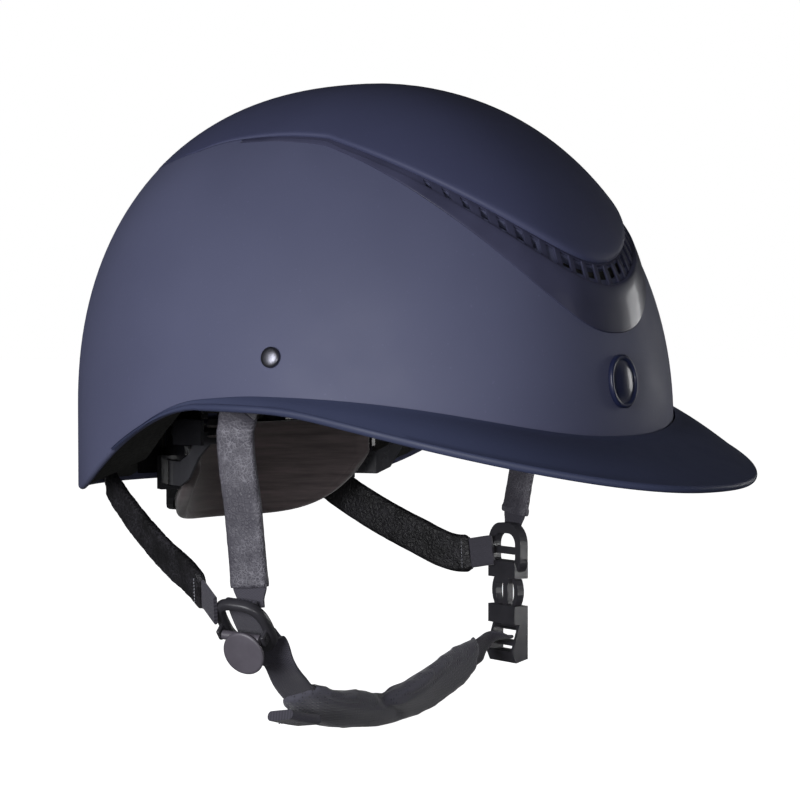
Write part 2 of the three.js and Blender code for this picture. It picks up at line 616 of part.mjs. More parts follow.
function dialHousing() {
  const ring = (turn) => 17 * Math.sqrt(Math.max(1 - (turn / (19 * DEG)) ** 2, 0.12));
  const [low, high] = [(t) => CRADLE.dialZ - ring(t), (t) => CRADLE.dialZ + ring(t)];
  const body = arcBlock(LAYER.housing, low, high, -18 * DEG, 18 * DEG, 12);
  const centre = arcAt(LAYER.housing[0], 0, CRADLE.dialZ);
  return cut(body, aim(rod(6, 20, vec(0, 0, 0), 24), centre, vec(1, 0, 0)));
}
function gearShape(radius, teeth, depth) {
  const points = range(teeth * 4).map((i) => {
    const turn = (i + 0.5) / (teeth * 4) * 2 * Math.PI;
    const r = i % 4 < 2 ? radius : radius - depth;
    return new THREE.Vector2(r * Math.cos(turn), r * Math.sin(turn));
  });
  return new THREE.Shape(points);
}
const DIAL_FRONT = CRADLE.x - LAYER.frame[1] - 0.4;
// Extrudes a dial outline backwards from `start` behind the front of the pinion.
function dialDisc(shape, start, depth) {
  return new THREE.ExtrudeGeometry(shape, { depth, bevelEnabled: false })
    .rotateY(-90 * DEG).translate(DIAL_FRONT - start, 0, CRADLE.dialZ);
}
const circle = (radius) => new THREE.Shape().absarc(0, 0, radius, 0, 2 * Math.PI);
const SCREW_HOLE = 1.6;
function dialPinion() {
  const gear = dialDisc(gearShape(PINION.radius - 0.6, PINION.teeth, 0.9), 0, 4.4);
  const hole = dialDisc(circle(SCREW_HOLE), -5, 20);
  return cut(gear, hole);
}
function dialKnob() {
  const boss = dialDisc(circle(5.4), 4.7, 3);
  const grip = dialDisc(gearShape(14.5, 14, 1), 7.2, 8);
  return cut(join(boss, grip), dialDisc(circle(SCREW_HOLE), 0, 20), dialDisc(circle(3.4), 12.5, 10));
}
function dialScrew() {
  const shank = dialDisc(circle(1.2), -3.2, 16.7);
  const head = dialDisc(circle(2.8), 12.8, 1.6);
  const corner = (i) => new THREE.Vector2(2.6, 0).rotateAround(new THREE.Vector2(), i * 60 * DEG);
  const nut = dialDisc(new THREE.Shape(range(6).map(corner)), -3.2, 2.2);
  return join(shank, head, nut);
}

// ---- Harness -----------------------------------------------------------------------------------------
const widthAxis = (side) => vec(Math.cos(TWIST), -side * Math.sin(TWIST), 0);
const ringCentre = (side) => side === RIGHT
  ? vec(DIVIDER.x, -DIVIDER.y, DIVIDER.z)
  : vec(BUCKLE.x, BUCKLE.y, BUCKLE.z + BUCKLE.ringUp);
const FRONT_EDGE = { x: 0, y: 91, z: -104 }; // where the front strap leaves the shell
// The front strap: clamped under the rivet, down past the shell's edge, onto the ring.
function frontStrap(side) {
  const ring = ringCentre(side);
  const { at, normal } = rivetPlace(side);
  const clamp = at.clone().addScaledVector(normal, (RIVET_STACK.washer - SHELL.thick) / 2);
  const edge = vec(FRONT_EDGE.x, side * FRONT_EDGE.y, FRONT_EDGE.z);
  const end = vec(ring.x + (side === RIGHT ? 8 : -1), ring.y + side * (side === RIGHT ? 2 : 4), ring.z + 9);
  const slant = edge.clone().sub(clamp).projectOnPlane(normal).normalize();
  const path = [
    clamp.clone().addScaledVector(slant, -7), clamp, clamp.clone().addScaledVector(slant, 14),
    edge, edge.clone().lerp(end, 0.5), end,
  ];
  const flatOnShell = normal.clone().cross(slant).multiplyScalar(side * Math.sign(slant.z));
  const hanging = widthAxis(side);
  if (flatOnShell.dot(hanging) < 0) flatOnShell.negate();
  return { path, across: [flatOnShell, flatOnShell, hanging, hanging, hanging, hanging], at, normal };
}
function frontWebbing(side) {
  const { path, across, at, normal } = frontStrap(side);
  return cut(ribbon(path, across, WEB.wide, WEB.thick, 20), aim(rod(RIVET.shank + 0.5, 30), at, normal));
}
// A leather sleeve round part of a strap, open at both ends.
function sleeveOn({ path, across }, inner, from, to, steps) {
  const outside = ribbon(path, across, SLEEVE.wide, SLEEVE.thick, steps, from, to);
  const overrun = 0.02;
  const inside = [inner.wide + 2 * GAP, inner.thick + 2 * GAP];
  return cut(outside, ribbon(path, across, ...inside, 2 * steps, from - overrun, to + overrun));
}
const frontSleeve = (side) => sleeveOn(frontStrap(side), WEB, 0.4, 0.93, 9);
const rearAcross = (side) => (side === RIGHT ? vec(0, -0.22, 1) : vec(0, 0, 1));
// The rear strap: from its anchor behind the ear, under the shell's edge, to the ring.
const REAR_ROOT = vec(-109, 60, -121);
const REAR_EDGE = vec(-103.6, 61.6, -129);
const REAR_SAG = [[0.15, -138], [0.35, -146.5], [0.57, -153.5], [0.8, -159.5]]; // share of the way, height
function rearPath(side) {
  const ring = ringCentre(side);
  const end = side === RIGHT
    ? vec(ring.x - 4, ring.y + 2.5, ring.z + 13.5)
    : vec(ring.x - 6, ring.y - 2.8, ring.z);
  const edge = vec(REAR_EDGE.x, side * REAR_EDGE.y, REAR_EDGE.z);
  const hanging = REAR_SAG.map(([share, z]) => edge.clone().lerp(end, share).setZ(z));
  return [vec(REAR_ROOT.x, side * REAR_ROOT.y, REAR_ROOT.z), edge, ...hanging, end];
}
const REAR_WEB = { wide: WEB.wide - 2, thick: WEB.thick };
const rearWebbing = (side) => ribbon(rearPath(side), rearAcross(side), REAR_WEB.wide, REAR_WEB.thick, 14);
const rearSleeve = (side) =>
  sleeveOn({ path: rearPath(side), across: rearAcross(side) }, REAR_WEB, 0.12, 0.88, 9);
function rearAnchor(side) {
  const at = vec(-107, side * 57, -108.5);
  return cut(box(3, 18, 7, at), box(8, 12, 2, at));
}

// Right-hand strap divider: a ring frame with a cam lever on a pin.
const LEVER = { pinY: -4.4, pinZ: -1.5, radius: 8.5, x: 0.8, drop: 6.2 };
const dividerUp = DIVIDER_DOWN.clone().negate()
  .addScaledVector(DIVIDER_ACROSS, DIVIDER_DOWN.dot(DIVIDER_ACROSS)).normalize();
const dividerIn = dividerUp.clone().cross(DIVIDER_ACROSS);
// A point in the divider's own frame: forwards, inwards, up.
const onDivider = (x, y, z) => vec(DIVIDER.x, -DIVIDER.y, DIVIDER.z)
  .addScaledVector(DIVIDER_ACROSS, x).addScaledVector(dividerIn, y).addScaledVector(dividerUp, z);
function dividerParts() {
  const group = new THREE.Group();
  group.applyMatrix4(new THREE.Matrix4().makeBasis(DIVIDER_ACROSS, dividerIn, dividerUp)
    .setPosition(DIVIDER.x, -DIVIDER.y, DIVIDER.z));
  part.add(group);
  const outline = roundedRect(DIVIDER.wide, DIVIDER.high, 9);
  outline.holes.push(roundedRect(DIVIDER.wide - 8, DIVIDER.high - 9, 6));
  const lugX = DIVIDER.wide / 2 - 2.3;
  const lug = (x) => box(1.6, 5.2, 5, vec(x, -3.5, LEVER.pinZ));
  const onPin = (radius, length) =>
    rod(radius, length, vec(0, 0, 0), 12).rotateY(90 * DEG).translate(0, LEVER.pinY, LEVER.pinZ);
  const bore = onPin(1.2, 40);
  const frame = cut(join(plateXZ(outline, DIVIDER.thick, 6), lug(-lugX), lug(lugX)), bore);
  add('divider_frame_right', frame, plastic, group);
  add('divider_pin_right', onPin(0.9, 2 * lugX + 1.6), steel, group);
  const disc = plateXZ(circle(LEVER.radius), 2, 10)
    .translate(LEVER.x, LEVER.pinY - 1, LEVER.pinZ - LEVER.drop);
  add('divider_lever_right', cut(join(disc, onPin(1.9, 2 * lugX - 2.4)), bore), plastic, group);
}

// Left-hand divider ring with the buckle's male half, and the female half below it.
const buckleGroup = () => {
  const group = new THREE.Group();
  group.position.set(BUCKLE.x, BUCKLE.y, BUCKLE.z);
  group.rotation.z = -TWIST;
  part.add(group);
  return group;
};
function buckleParts() {
  const group = buckleGroup();
  const outline = roundedRect(24, 24, 9);
  outline.holes.push(roundedRect(16, 15, 5));
  const ring = plateXZ(outline, 4, 4).translate(0, 0, BUCKLE.ringUp);
  const bar = box(19, 2.4, 3, vec(0, 0, BUCKLE.ringUp));
  const shoulder = box(BUCKLE.wide, BUCKLE.thick, 9.5, vec(0, 0, 16.25));
  const tongue = box(3.4, 3, 18, vec(0, 0, 3.1));
  const prongSlot = (x) => box(6, BUCKLE.thick + 2, 2.6, vec(x, 0, 12.5));
  const male = cut(join(ring, bar, shoulder, tongue), prongSlot(8), prongSlot(-8));
  add('buckle_male', male, plastic, group);
  for (const [name, side] of [['buckle_prong_front', 1], ['buckle_prong_rear', -1]]) {
    const blade = new THREE.Shape();
    blade.moveTo(side * 5.4, 13.4);
    blade.lineTo(side * 8.2, 13.4);
    blade.quadraticCurveTo(side * 11.4, 7.5, side * 7.7, 2);
    blade.lineTo(side * 7.2, -5.6);
    blade.lineTo(side * 5, -5.6);
    blade.lineTo(side * 5.2, 2);
    blade.quadraticCurveTo(side * 8.4, 7.5, side * 5.4, 13.4);
    add(name, plateXZ(blade, 3.4, 5), plastic, group);
  }
  const throat = vec(0, 0, -2);
  const collar = cut(
    box(BUCKLE.wide, BUCKLE.thick, 8, throat), box(BUCKLE.wide - 3.2, BUCKLE.thick - 2.6, 10, throat));
  // The adjuster below the collar is a wedge, deepest at its foot, with two gaps for webbing.
  const wedge = new THREE.Shape([[3.5, -5], [-0.5, -5], [-4.6, -18], [-2.6, -22.6], [3.5, -21]]
    .map(([y, z]) => new THREE.Vector2(y, z)));
  const across = [vec(0, 1, 0), vec(0, 0, 1), vec(1, 0, 0)];
  const solid = new THREE.ExtrudeGeometry(wedge, { depth: BUCKLE.wide, bevelEnabled: false });
  const body = aimFrame(solid, vec(-BUCKLE.wide / 2, 0, 0), ...across);
  const inside = BUCKLE.wide - 3.2;
  const windows = [box(inside, 20, 5, vec(0, 0, -11)), box(inside, 20, 2.6, vec(0, 0, -16.4))];
  const mouth = box(inside, BUCKLE.thick - 2.6, 3, vec(0, 0, -6.5));
  const ladder = cut(body, ...windows, mouth);
  add('buckle_female', join(collar, ladder), plastic, group);
}

// Chin strap path from the right divider to the buckle, front edge tipped down.
const CHIN_RIGHT = [
  onDivider(2, 4.2, -7), onDivider(3.2, 4.4, -14), vec(5.5, -71, -196.5), vec(3.8, -60, -208),
];
const CHIN_PAD = [
  vec(3.6, -58.5, -209.6), vec(2.4, -45, -216), vec(1, -25, -220), vec(0, -5, -221.5),
  vec(-1, 20, -217.5), vec(-2, 42, -211), vec(-3, 57, -205.5),
];
const CHIN_LEFT = [vec(-3.2, 59, -204.6), vec(-4, 69, -201.5), vec(-4.9, 75.4, -200)];
const CHIN_ACROSS = vec(1, 0, 0.8);
function chinPad() {
  const curve = new THREE.CatmullRomCurve3(CHIN_PAD);
  const steps = 18;
  const rings = range(steps + 1).map((i) => {
    const t = i / steps;
    const tangent = curve.getTangentAt(t);
    const side = CHIN_ACROSS.clone().addScaledVector(tangent, -CHIN_ACROSS.dot(tangent)).normalize();
    const normal = tangent.clone().cross(side);
    const swell = 0.62 + 0.38 * Math.sin(Math.PI * t) ** 0.6;
    const [w, h] = [14.5 * swell, 5 * swell];
    return range(10).map((k) => {
      const turn = k / 10 * 2 * Math.PI;
      const [c, s] = [Math.cos(turn), Math.sin(turn)];
      return curve.getPointAt(t)
        .addScaledVector(side, w * Math.sign(c) * Math.abs(c) ** 0.6)
        .addScaledVector(normal, h * Math.sign(s) * Math.abs(s) ** 0.8);
    });
  });
  return loftCapped(rings);
}
function chinWebbingRight() {
  return ribbon(CHIN_RIGHT, [DIVIDER_ACROSS, DIVIDER_ACROSS, CHIN_ACROSS], WEB.wide, WEB.thick, 10);
}
function chinWebbingLeft() {
  return ribbon(CHIN_LEFT, [CHIN_ACROSS, widthAxis(LEFT)], WEB.wide, WEB.thick, 8);
}
const TAIL = [vec(6.5, -55.5, -221), vec(6.2, -62, -219.6), vec(5.4, -70, -217.5)];
const TAIL_ACROSS = vec(1, 0, 0.15);
const strapTail = () => ribbon(TAIL, TAIL_ACROSS, WEB.wide, 4, 6);

// ---- Assembly ----------------------------------------------------------------------------------------
add('outer_shell', outerShell(), navyMatte);
add('crown_panel', crownPanel(), navyDark);
add('vent_trim', ventTrim(), navyGloss);
add('brim', brim(), navyDark);
add('front_emblem', frontEmblem(), navyGloss);
add('eps_liner', epsLiner(), foam);
add('crown_pad', crownPad(), cloth);
add('headband_pad', headbandPad(), cloth);
add('cradle_frame', cradleFrame(), plastic);
add('nape_pad', napePad(), cloth);
add('dial_housing', dialHousing(), plastic);
add('dial_pinion', dialPinion(), steel);
add('dial_knob', dialKnob(), plastic);
add('dial_screw', dialScrew(), steel);
for (const [word, side] of [['right', RIGHT], ['left', LEFT]]) {
  add(`side_rivet_${word}`, sideRivet(side), gunmetal);
  add(`rivet_washer_${word}`, rivetWasher(side), steel);
  add(`front_webbing_${word}`, frontWebbing(side), webbing);
  add(`front_sleeve_${word}`, frontSleeve(side), leather);
  add(`rear_webbing_${word}`, rearWebbing(side), webbing);
  add(`rear_sleeve_${word}`, rearSleeve(side), leather);
  add(`rear_anchor_${word}`, rearAnchor(side), steel);
  add(`cradle_guide_${word}`, cradleGuide(side), plastic);
  add(`size_band_${word}`, sizeBand(side), plastic);
  add(`band_anchor_${word}`, bandAnchor(side), plastic);
}
dividerParts();
buckleParts();
add('chin_webbing_right', chinWebbingRight(), webbing);
add('chin_webbing_left', chinWebbingLeft(), webbing);
add('chin_pad', chinPad(), cloth);
add('strap_tail', strapTail(), webbing);

export default part;
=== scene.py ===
"""Looks of a riding helmet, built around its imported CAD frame.

Lengths in this file are millimetres, and make_object() turns them into metres.
+X is forward to the peak, +Y is the wearer's left and +Z is up.
"""

import math

import bmesh
import bpy
from mathutils import Matrix, Vector, noise


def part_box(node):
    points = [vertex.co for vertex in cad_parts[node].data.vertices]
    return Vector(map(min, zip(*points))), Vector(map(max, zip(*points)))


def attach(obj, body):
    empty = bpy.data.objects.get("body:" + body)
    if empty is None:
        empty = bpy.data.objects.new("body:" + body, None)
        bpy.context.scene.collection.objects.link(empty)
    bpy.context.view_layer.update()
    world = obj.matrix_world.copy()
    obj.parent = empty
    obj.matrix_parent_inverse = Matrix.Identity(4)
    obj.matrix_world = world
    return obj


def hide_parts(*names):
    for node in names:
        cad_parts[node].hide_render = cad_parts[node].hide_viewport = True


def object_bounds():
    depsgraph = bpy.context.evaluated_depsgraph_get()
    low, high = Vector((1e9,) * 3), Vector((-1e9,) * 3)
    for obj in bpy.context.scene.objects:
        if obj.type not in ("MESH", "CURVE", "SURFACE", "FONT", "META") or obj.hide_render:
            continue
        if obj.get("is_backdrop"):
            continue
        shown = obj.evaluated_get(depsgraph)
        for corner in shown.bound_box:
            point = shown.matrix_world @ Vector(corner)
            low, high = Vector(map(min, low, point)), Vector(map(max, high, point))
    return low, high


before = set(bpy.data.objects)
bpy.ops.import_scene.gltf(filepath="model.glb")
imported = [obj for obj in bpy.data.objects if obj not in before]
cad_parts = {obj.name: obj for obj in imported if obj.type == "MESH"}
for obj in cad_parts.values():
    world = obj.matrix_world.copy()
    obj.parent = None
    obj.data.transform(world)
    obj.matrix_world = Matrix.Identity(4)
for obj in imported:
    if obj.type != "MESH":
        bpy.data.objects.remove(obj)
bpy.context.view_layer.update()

MM = 0.001
RIGHT, LEFT = -1, 1
WORD = {RIGHT: "right", LEFT: "left"}
SMOOTH_ANGLE = math.radians(40)


def box_mm(node):
    low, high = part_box(node)
    return low / MM, high / MM


# ---- Driving dimensions ----------------------------------------------------
SHELL_LOW, SHELL_HIGH = box_mm("outer_shell")
SHELL = {
    "front": SHELL_HIGH.x,
    "rear": -SHELL_LOW.x,
    "half_width": 105,
    "egg": 0.134,  # how much narrower the forehead is than the back
    "rise": 135,  # equator to the top
    "apex_shift": -13.7,
    "square_front": 2.31,  # superellipse exponents in plan
    "square_rear": 2.15,
    "dome_front": 2.07,  # superellipse exponents in side view
    "dome_rear": 2.24,
    "blend": 40,  # front and rear exponents mix over this distance either side of the apex
    "thick": 3,
}
EQUATOR = SHELL_HIGH.z - SHELL["rise"]
SIDE_RIM = -97.3
NAPE_DROP = 35.5
BROW_DROP = 15.4

BRIM = {
    "band": 5.7,
    "side_reach": 1.7,
    "peak_reach": 42,
    "slope": 0.237,
    "slope_start": 40,
    "lip": 1.5,
    "fade_from": 80,  # degrees from the front where the side band starts to fade
    "fade_over": 30,
    "end": 112.5,
}
CROWN_PLAN = {"x": 20, "length": 87.6, "half": 57.2, "power": 2.08, "flare": 0.2,
              "tail": -40, "rear": -95}
TRIM_PLAN = {"x": 20, "length": 96.2, "half": 59.4, "power": 2.35, "flare": 0.17}
TRIM_TAIL = 40  # the trim runs back along the flanks for this far
SLOT = {"count": 23, "spread": math.radians(61), "wide": 4.2, "short": 3.4, "long": 9.6}

WEB_WIDE, WEB_THICK = 15, 1.5
SLEEVE_WIDE, SLEEVE_THICK = 16.4, 3.6
TWIST = math.radians(15)
LINER = {"outer": 3.9, "inner": 25, "outer_lift": 2, "inner_lift": 12}


# ---- Small maths helpers ---------------------------------------------------
def vec(x, y, z):
    return Vector((x, y, z))


def clamp01(t):
    return min(max(t, 0.0), 1.0)


def smooth(t):
    t = clamp01(t)
    return t * t * (3 - 2 * t)


def mix(a, b, t):
    return a + (b - a) * t


def sgn_pow(value, power):
    return math.copysign(abs(value) ** power, value)


def round_angles(count):
    """Equally spaced angles round a full turn."""
    return [2 * math.pi * i / count for i in range(count)]


# ---- Mesh helpers ----------------------------------------------------------
def make_object(name, verts, faces, material=None, flow=None):
    """A smooth-shaded mesh object from points in millimetres."""
    mesh = bpy.data.meshes.new(name)
    mesh.from_pydata([tuple(v * MM for v in p) for p in verts], [], faces)
    bm = bmesh.new()
    bm.from_mesh(mesh)
    bmesh.ops.recalc_face_normals(bm, faces=bm.faces)
    bm.to_mesh(mesh)
    bm.free()
    if flow:
        attribute = mesh.attributes.new("flow", "FLOAT_VECTOR", "POINT")
        attribute.data.foreach_set("vector", [value for f in flow for value in f])
    obj = bpy.data.objects.new(name, mesh)
    bpy.context.scene.collection.objects.link(obj)
    shade(obj)
    if material:
        obj.data.materials.append(material)
    return obj


def shade(obj, angle=SMOOTH_ANGLE):
    obj.data.shade_smooth()
    obj.data.set_sharp_from_angle(angle=angle)


def use_material(obj, material, angle=math.radians(80)):
    obj.data.materials.clear()
    obj.data.materials.append(material)
    shade(obj, angle)
    return obj


def loft(rings):
    """Faces joining rings of equally many points. A ring of one point closes an end."""
    verts = [p for ring in rings for p in ring]
    faces = []
    base = 0
    for near, far in zip(rings, rings[1:]):
        n, m = len(near), len(far)
        nxt = base + n
        for i in range(max(n, m)):
            j = (i + 1) % max(n, m)
            if n == 1:
                faces.append((base, nxt + j, nxt + i))
            elif m == 1:
                faces.append((base + i, base + j, nxt))
            else:
                faces.append((base + i, base + j, nxt + j, nxt + i))
        base = nxt
    if len(rings[0]) > 1:
        faces.append(tuple(range(len(rings[0]))))
    if len(rings[-1]) > 1:
        faces.append(tuple(base + i for i in range(len(rings[-1]))))
    return verts, faces


def apply_modifiers(obj):
    """Bakes every modifier of an object into its mesh."""
    graph = bpy.context.evaluated_depsgraph_get()
    baked = bpy.data.meshes.new_from_object(obj.evaluated_get(graph))
    obj.modifiers.clear()
    obj.data = baked
    return obj


def boolean(obj, other, operation):
    """Joins, cuts or intersects obj with other, which is used up."""
    modifier = obj.modifiers.new(operation.lower(), "BOOLEAN")
    modifier.operation = operation
    modifier.solver = "EXACT"
    modifier.object = other
    apply_modifiers(obj)
    bpy.data.objects.remove(other)
    return obj


def add_bevel(obj, width, segments=3, angle=32):
    bevel = obj.modifiers.new("bevel", "BEVEL")
    bevel.width = width * MM
    bevel.segments = segments
    bevel.limit_method = "ANGLE"
    bevel.angle_limit = math.radians(angle)
    bevel.harden_normals = False
    return bevel


def rounded_box(low, high, radius=0.0, segments=2):
    """A box between two corners, with rounded edges where radius isn't zero."""
    corners = [vec(x, y, z)
               for x in (low[0], high[0]) for y in (low[1], high[1]) for z in (low[2], high[2])]
    faces = [(0, 1, 3, 2), (4, 6, 7, 5), (0, 4, 5, 1), (2, 3, 7, 6), (0, 2, 6, 4), (1, 5, 7, 3)]
    obj = make_object("box", corners, faces)
    if radius:
        add_bevel(obj, radius, segments)
        apply_modifiers(obj)
    return obj


def lathe(profile, at, axis, sides=48):
    """A closed solid of revolution about a line; profile holds (radius, height) pairs."""
    turn = Vector((0, 0, 1)).rotation_difference(Vector(axis))
    rings = []
    for radius, height in profile:
        if radius < 1e-6:
            rings.append([at + turn @ vec(0, 0, height)])
        else:
            rings.append([at + turn @ vec(radius * math.cos(a), radius * math.sin(a), height)
                          for a in round_angles(sides)])
    return loft(rings)


# ---- Curves and straps -----------------------------------------------------
def dense_curve(points, per_span=24):
    """Points on a centripetal Catmull-Rom curve through the given points."""
    first = points[0] * 2 - points[1]
    last = points[-1] * 2 - points[-2]
    hull = [first, *points, last]
    out = []
    for p0, p1, p2, p3 in zip(hull, hull[1:], hull[2:], hull[3:]):
        d0, d1, d2 = [max((b - a).length, 1e-6) ** 0.5 for a, b in ((p0, p1), (p1, p2), (p2, p3))]
        m1 = ((p1 - p0) / d0 - (p2 - p0) / (d0 + d1) + (p2 - p1) / d1) * d1
        m2 = ((p2 - p1) / d1 - (p3 - p1) / (d1 + d2) + (p3 - p2) / d2) * d1
        for i in range(per_span):
            t = i / per_span
            out.append(
                p1 * (2 * t**3 - 3 * t**2 + 1) + m1 * (t**3 - 2 * t**2 + t)
                + p2 * (3 * t**2 - 2 * t**3) + m2 * (t**3 - t**2)
            )
    out.append(points[-1].copy())
    return out


def measure(points):
    """Distance along the points to each of them."""
    marks = [0.0]
    for a, b in zip(points, points[1:]):
        marks.append(marks[-1] + (b - a).length)
    return marks


def locate(marks, want):
    """The span that holds the distance `want`, and the share of that span before it."""
    k = 0
    while k < len(marks) - 2 and marks[k + 1] < want:
        k += 1
    return k, (want - marks[k]) / max(marks[k + 1] - marks[k], 1e-6)


class Path:
    """A smooth curve measured by its length, with a width direction along it."""

    def __init__(self, points, across):
        self.points = dense_curve(points)
        self.across = across if isinstance(across, list) else [across]
        self.marks = measure(self.points)
        self.length = self.marks[-1]

    def at(self, t):
        k, part = locate(self.marks, t * self.length)
        return self.points[k].lerp(self.points[k + 1], part)

    def frame(self, t):
        """Point, width direction and face normal at the fraction t of the length."""
        ahead, behind = min(t + 0.01, 1), max(t - 0.01, 0)
        tangent = (self.at(ahead) - self.at(behind)).normalized()
        spot = clamp01(t) * (len(self.across) - 1)
        k = min(int(spot), max(len(self.across) - 2, 0))
        side = self.across[k].copy()
        if len(self.across) > 1:
            side = side.lerp(self.across[k + 1], smooth(spot - k))
        side = (side - tangent * side.dot(tangent)).normalized()
        return self.at(t), side, tangent.cross(side), tangent


def flat_section(wide, thick, crown=0.0, columns=10, corner=4):
    """Outline of a strap with round edges: (across, out) pairs. `crown` domes both faces."""
    radius = thick / 2
    flat = wide / 2 - radius
    half = [(mix(-flat, flat, i / columns), radius) for i in range(columns + 1)]
    for i in range(1, corner):
        angle = math.pi * (0.5 - i / corner)
        half.append((flat + radius * math.cos(angle), radius * math.sin(angle)))
    outline = half + [(-u, -v) for u, v in half]
    return [(u, v * (1 + crown * (1 - min(1, abs(u) / (wide / 2)) ** 2))) for u, v in outline]


def strap(name, path, section, material, start=0.0, end=1.0, step=1.0, shape=None, ripple=0.0):
    """A closed strap swept along part of a path. shape(t, u, v) may change the section."""
    count = max(int((end - start) * path.length / step), 4)
    rings, flow = [], []
    for i in range(count + 1):
        t = mix(start, end, i / count)
        centre, side, normal, _ = path.frame(t)
        along = t * path.length
        ring = []
        for u, v in section:
            a, b = shape(t, u, v) if shape else (u, v)
            point = centre + side * a + normal * b
            if ripple:
                wave = noise.noise(point * 0.22) + 0.6 * noise.noise(point * 0.6)
                point += normal * ripple * wave
            ring.append(point)
            flow.append((u, along, v))
        rings.append(ring)
    verts, faces = loft(rings)
    return make_object(name, verts, faces, material, flow)


STITCH_SIDES = 6


def stitches(name, points, normals, pitch=2.4, length=1.7, radius=0.24, material=None):
    """A row of thread stitches: small rounded bars laid along a line of points."""
    verts, faces = [], []
    marks = measure(points)
    for n in range(int(marks[-1] / pitch)):
        k, part = locate(marks, (n + 0.5) * pitch)
        centre = points[k].lerp(points[k + 1], part)
        along = (points[k + 1] - points[k]).normalized()
        up = normals[k]
        across = along.cross(up).normalized()
        rings = []
        for s in (-1, -0.8, -0.35, 0.35, 0.8, 1):
            size = radius * (1 - s**4 * 0.75)
            sink = -0.16 * s**2
            ring = []
            for angle in round_angles(STITCH_SIDES):
                offset = across * math.cos(angle) * size + up * (math.sin(angle) * size + sink)
                ring.append(centre + along * (s * length / 2) + offset)
            rings.append(ring)
        more_verts, more_faces = loft(rings)
        base = len(verts)
        verts += more_verts
        faces += [tuple(base + i for i in face) for face in more_faces]
    return make_object(name, verts, faces, material)


# ---- The helmet's outer surface --------------------------------------------
def shell_form(x, shift):
    """Exponents of the shell at distance x, mixed smoothly from its rear to its front."""
    w = smooth(0.5 + (x - shift) / (2 * SHELL["blend"]))
    return (
        mix(SHELL["dome_rear"], SHELL["dome_front"], w),
        mix(SHELL["square_rear"], SHELL["square_front"], w),
    )


def shell_at(theta, z, inset=0.0):
    """Point on the shell at plan angle theta and height z, moved inwards by inset."""
    c, s = math.cos(theta), math.sin(theta)
    h = clamp01((z - EQUATOR) / (SHELL["rise"] - inset))
    shift = SHELL["apex_shift"] * h
    if c > 0:
        reach = SHELL["front"] - inset - shift
    else:
        reach = SHELL["rear"] - inset + shift
    half = (SHELL["half_width"] - inset) * (1 - SHELL["egg"] * c)
    x = shift + reach * c
    for _ in range(4):
        dome, square = shell_form(x, shift)
        shrink = max(1 - h**dome, 0) ** (1 / dome)
        x = shift + reach * sgn_pow(c, 2 / square) * shrink
    return vec(x, half * sgn_pow(s, 2 / square) * shrink, z)


def shell_above(x, y, inset=0.0):
    """Point on the shell, or on a surface inset from it, above the plan position (x, y)."""
    low, high = 0.0, 1.0
    for _ in range(34):
        h = (low + high) / 2
        shift = SHELL["apex_shift"] * h
        ahead = x > shift
        dome, square = shell_form(x, shift)
        shrink = (1 - h**dome) ** (1 / dome)
        reach = (SHELL["front"] - inset - shift if ahead else SHELL["rear"] - inset + shift) * shrink
        c = (abs(x - shift) / reach) ** (square / 2)
        narrow = 1 - SHELL["egg"] * clamp01(c) * (1 if ahead else -1)
        half = (SHELL["half_width"] - inset) * narrow * shrink
        if c**2 + (abs(y) / half) ** square > 1:
            high = h
        else:
            low = h
    return vec(x, y, EQUATOR + (SHELL["rise"] - inset) * low)


def surface_normal(surface, u, v, du, dv):
    """Outward normal of a two-parameter surface round the middle of the head."""
    along = surface(u + du, v) - surface(u - du, v)
    across = surface(u, v + dv) - surface(u, v - dv)
    normal = along.cross(across).normalized()
    outwards = surface(u, v) - vec(0, 0, EQUATOR)
    return normal if normal.dot(outwards) > 0 else -normal


def crown_normal(x, y):
    return surface_normal(shell_above, x, y, 0.5, 0.5)


def crown_at(x, y, lift):
    return shell_above(x, y) + crown_normal(x, y) * lift


def wall_normal(theta, z):
    return surface_normal(shell_at, theta, z, 0.01, 0.5)


def wall_at(theta, z, lift):
    return shell_at(theta, z) + wall_normal(theta, z) * lift


def rim_z(theta):
    """Lower edge of the shell: level over the ears, dipping at the brow and the nape."""
    turn = abs(math.degrees(theta))
    brow = BROW_DROP * max(math.cos(theta), 0) ** 2.85
    return SIDE_RIM - brow - NAPE_DROP * smooth((turn - 90) / 46)


def bowl(outer, inner, outer_rim, inner_rim, columns, rows, lip=0):
    """A closed bowl between two insets, with a lip of round rings at its lower edge."""
    def ring_at(inset, rim, t, lower=0.0):
        ring = []
        for i in range(columns):
            theta = 2 * math.pi * i / columns
            if theta > math.pi:
                theta -= 2 * math.pi
            bottom = rim(theta) + lower
            top = EQUATOR + (SHELL["rise"] - inset) * math.sin(math.pi / 2 * (1 - t))
            z = max(top, bottom + 6 * (1 - t)) if t < 1 else bottom
            ring.append(shell_at(theta, z, inset))
        return ring

    apex = vec(SHELL["apex_shift"], 0, EQUATOR + SHELL["rise"])
    rings = [[apex - vec(0, 0, outer)]]
    rings += [ring_at(outer, outer_rim, (k + 1) / rows) for k in range(rows - 1)]
    if lip:
        radius = (inner - outer) / 2
        for k in range(lip + 1):
            angle = math.pi * k / lip
            inset = (outer + inner) / 2 - radius * math.cos(angle)
            rings.append(ring_at(inset, outer_rim, 1.0, radius * (1 - math.sin(angle))))
    else:
        rings.append(ring_at(outer, outer_rim, 1.0))
        rings.append(ring_at(inner, inner_rim, 1.0))
    rings += [ring_at(inner, inner_rim, 1 - k / rows) for k in range(1, rows)]
    rings.append([apex - vec(0, 0, inner)])
    return loft(rings)


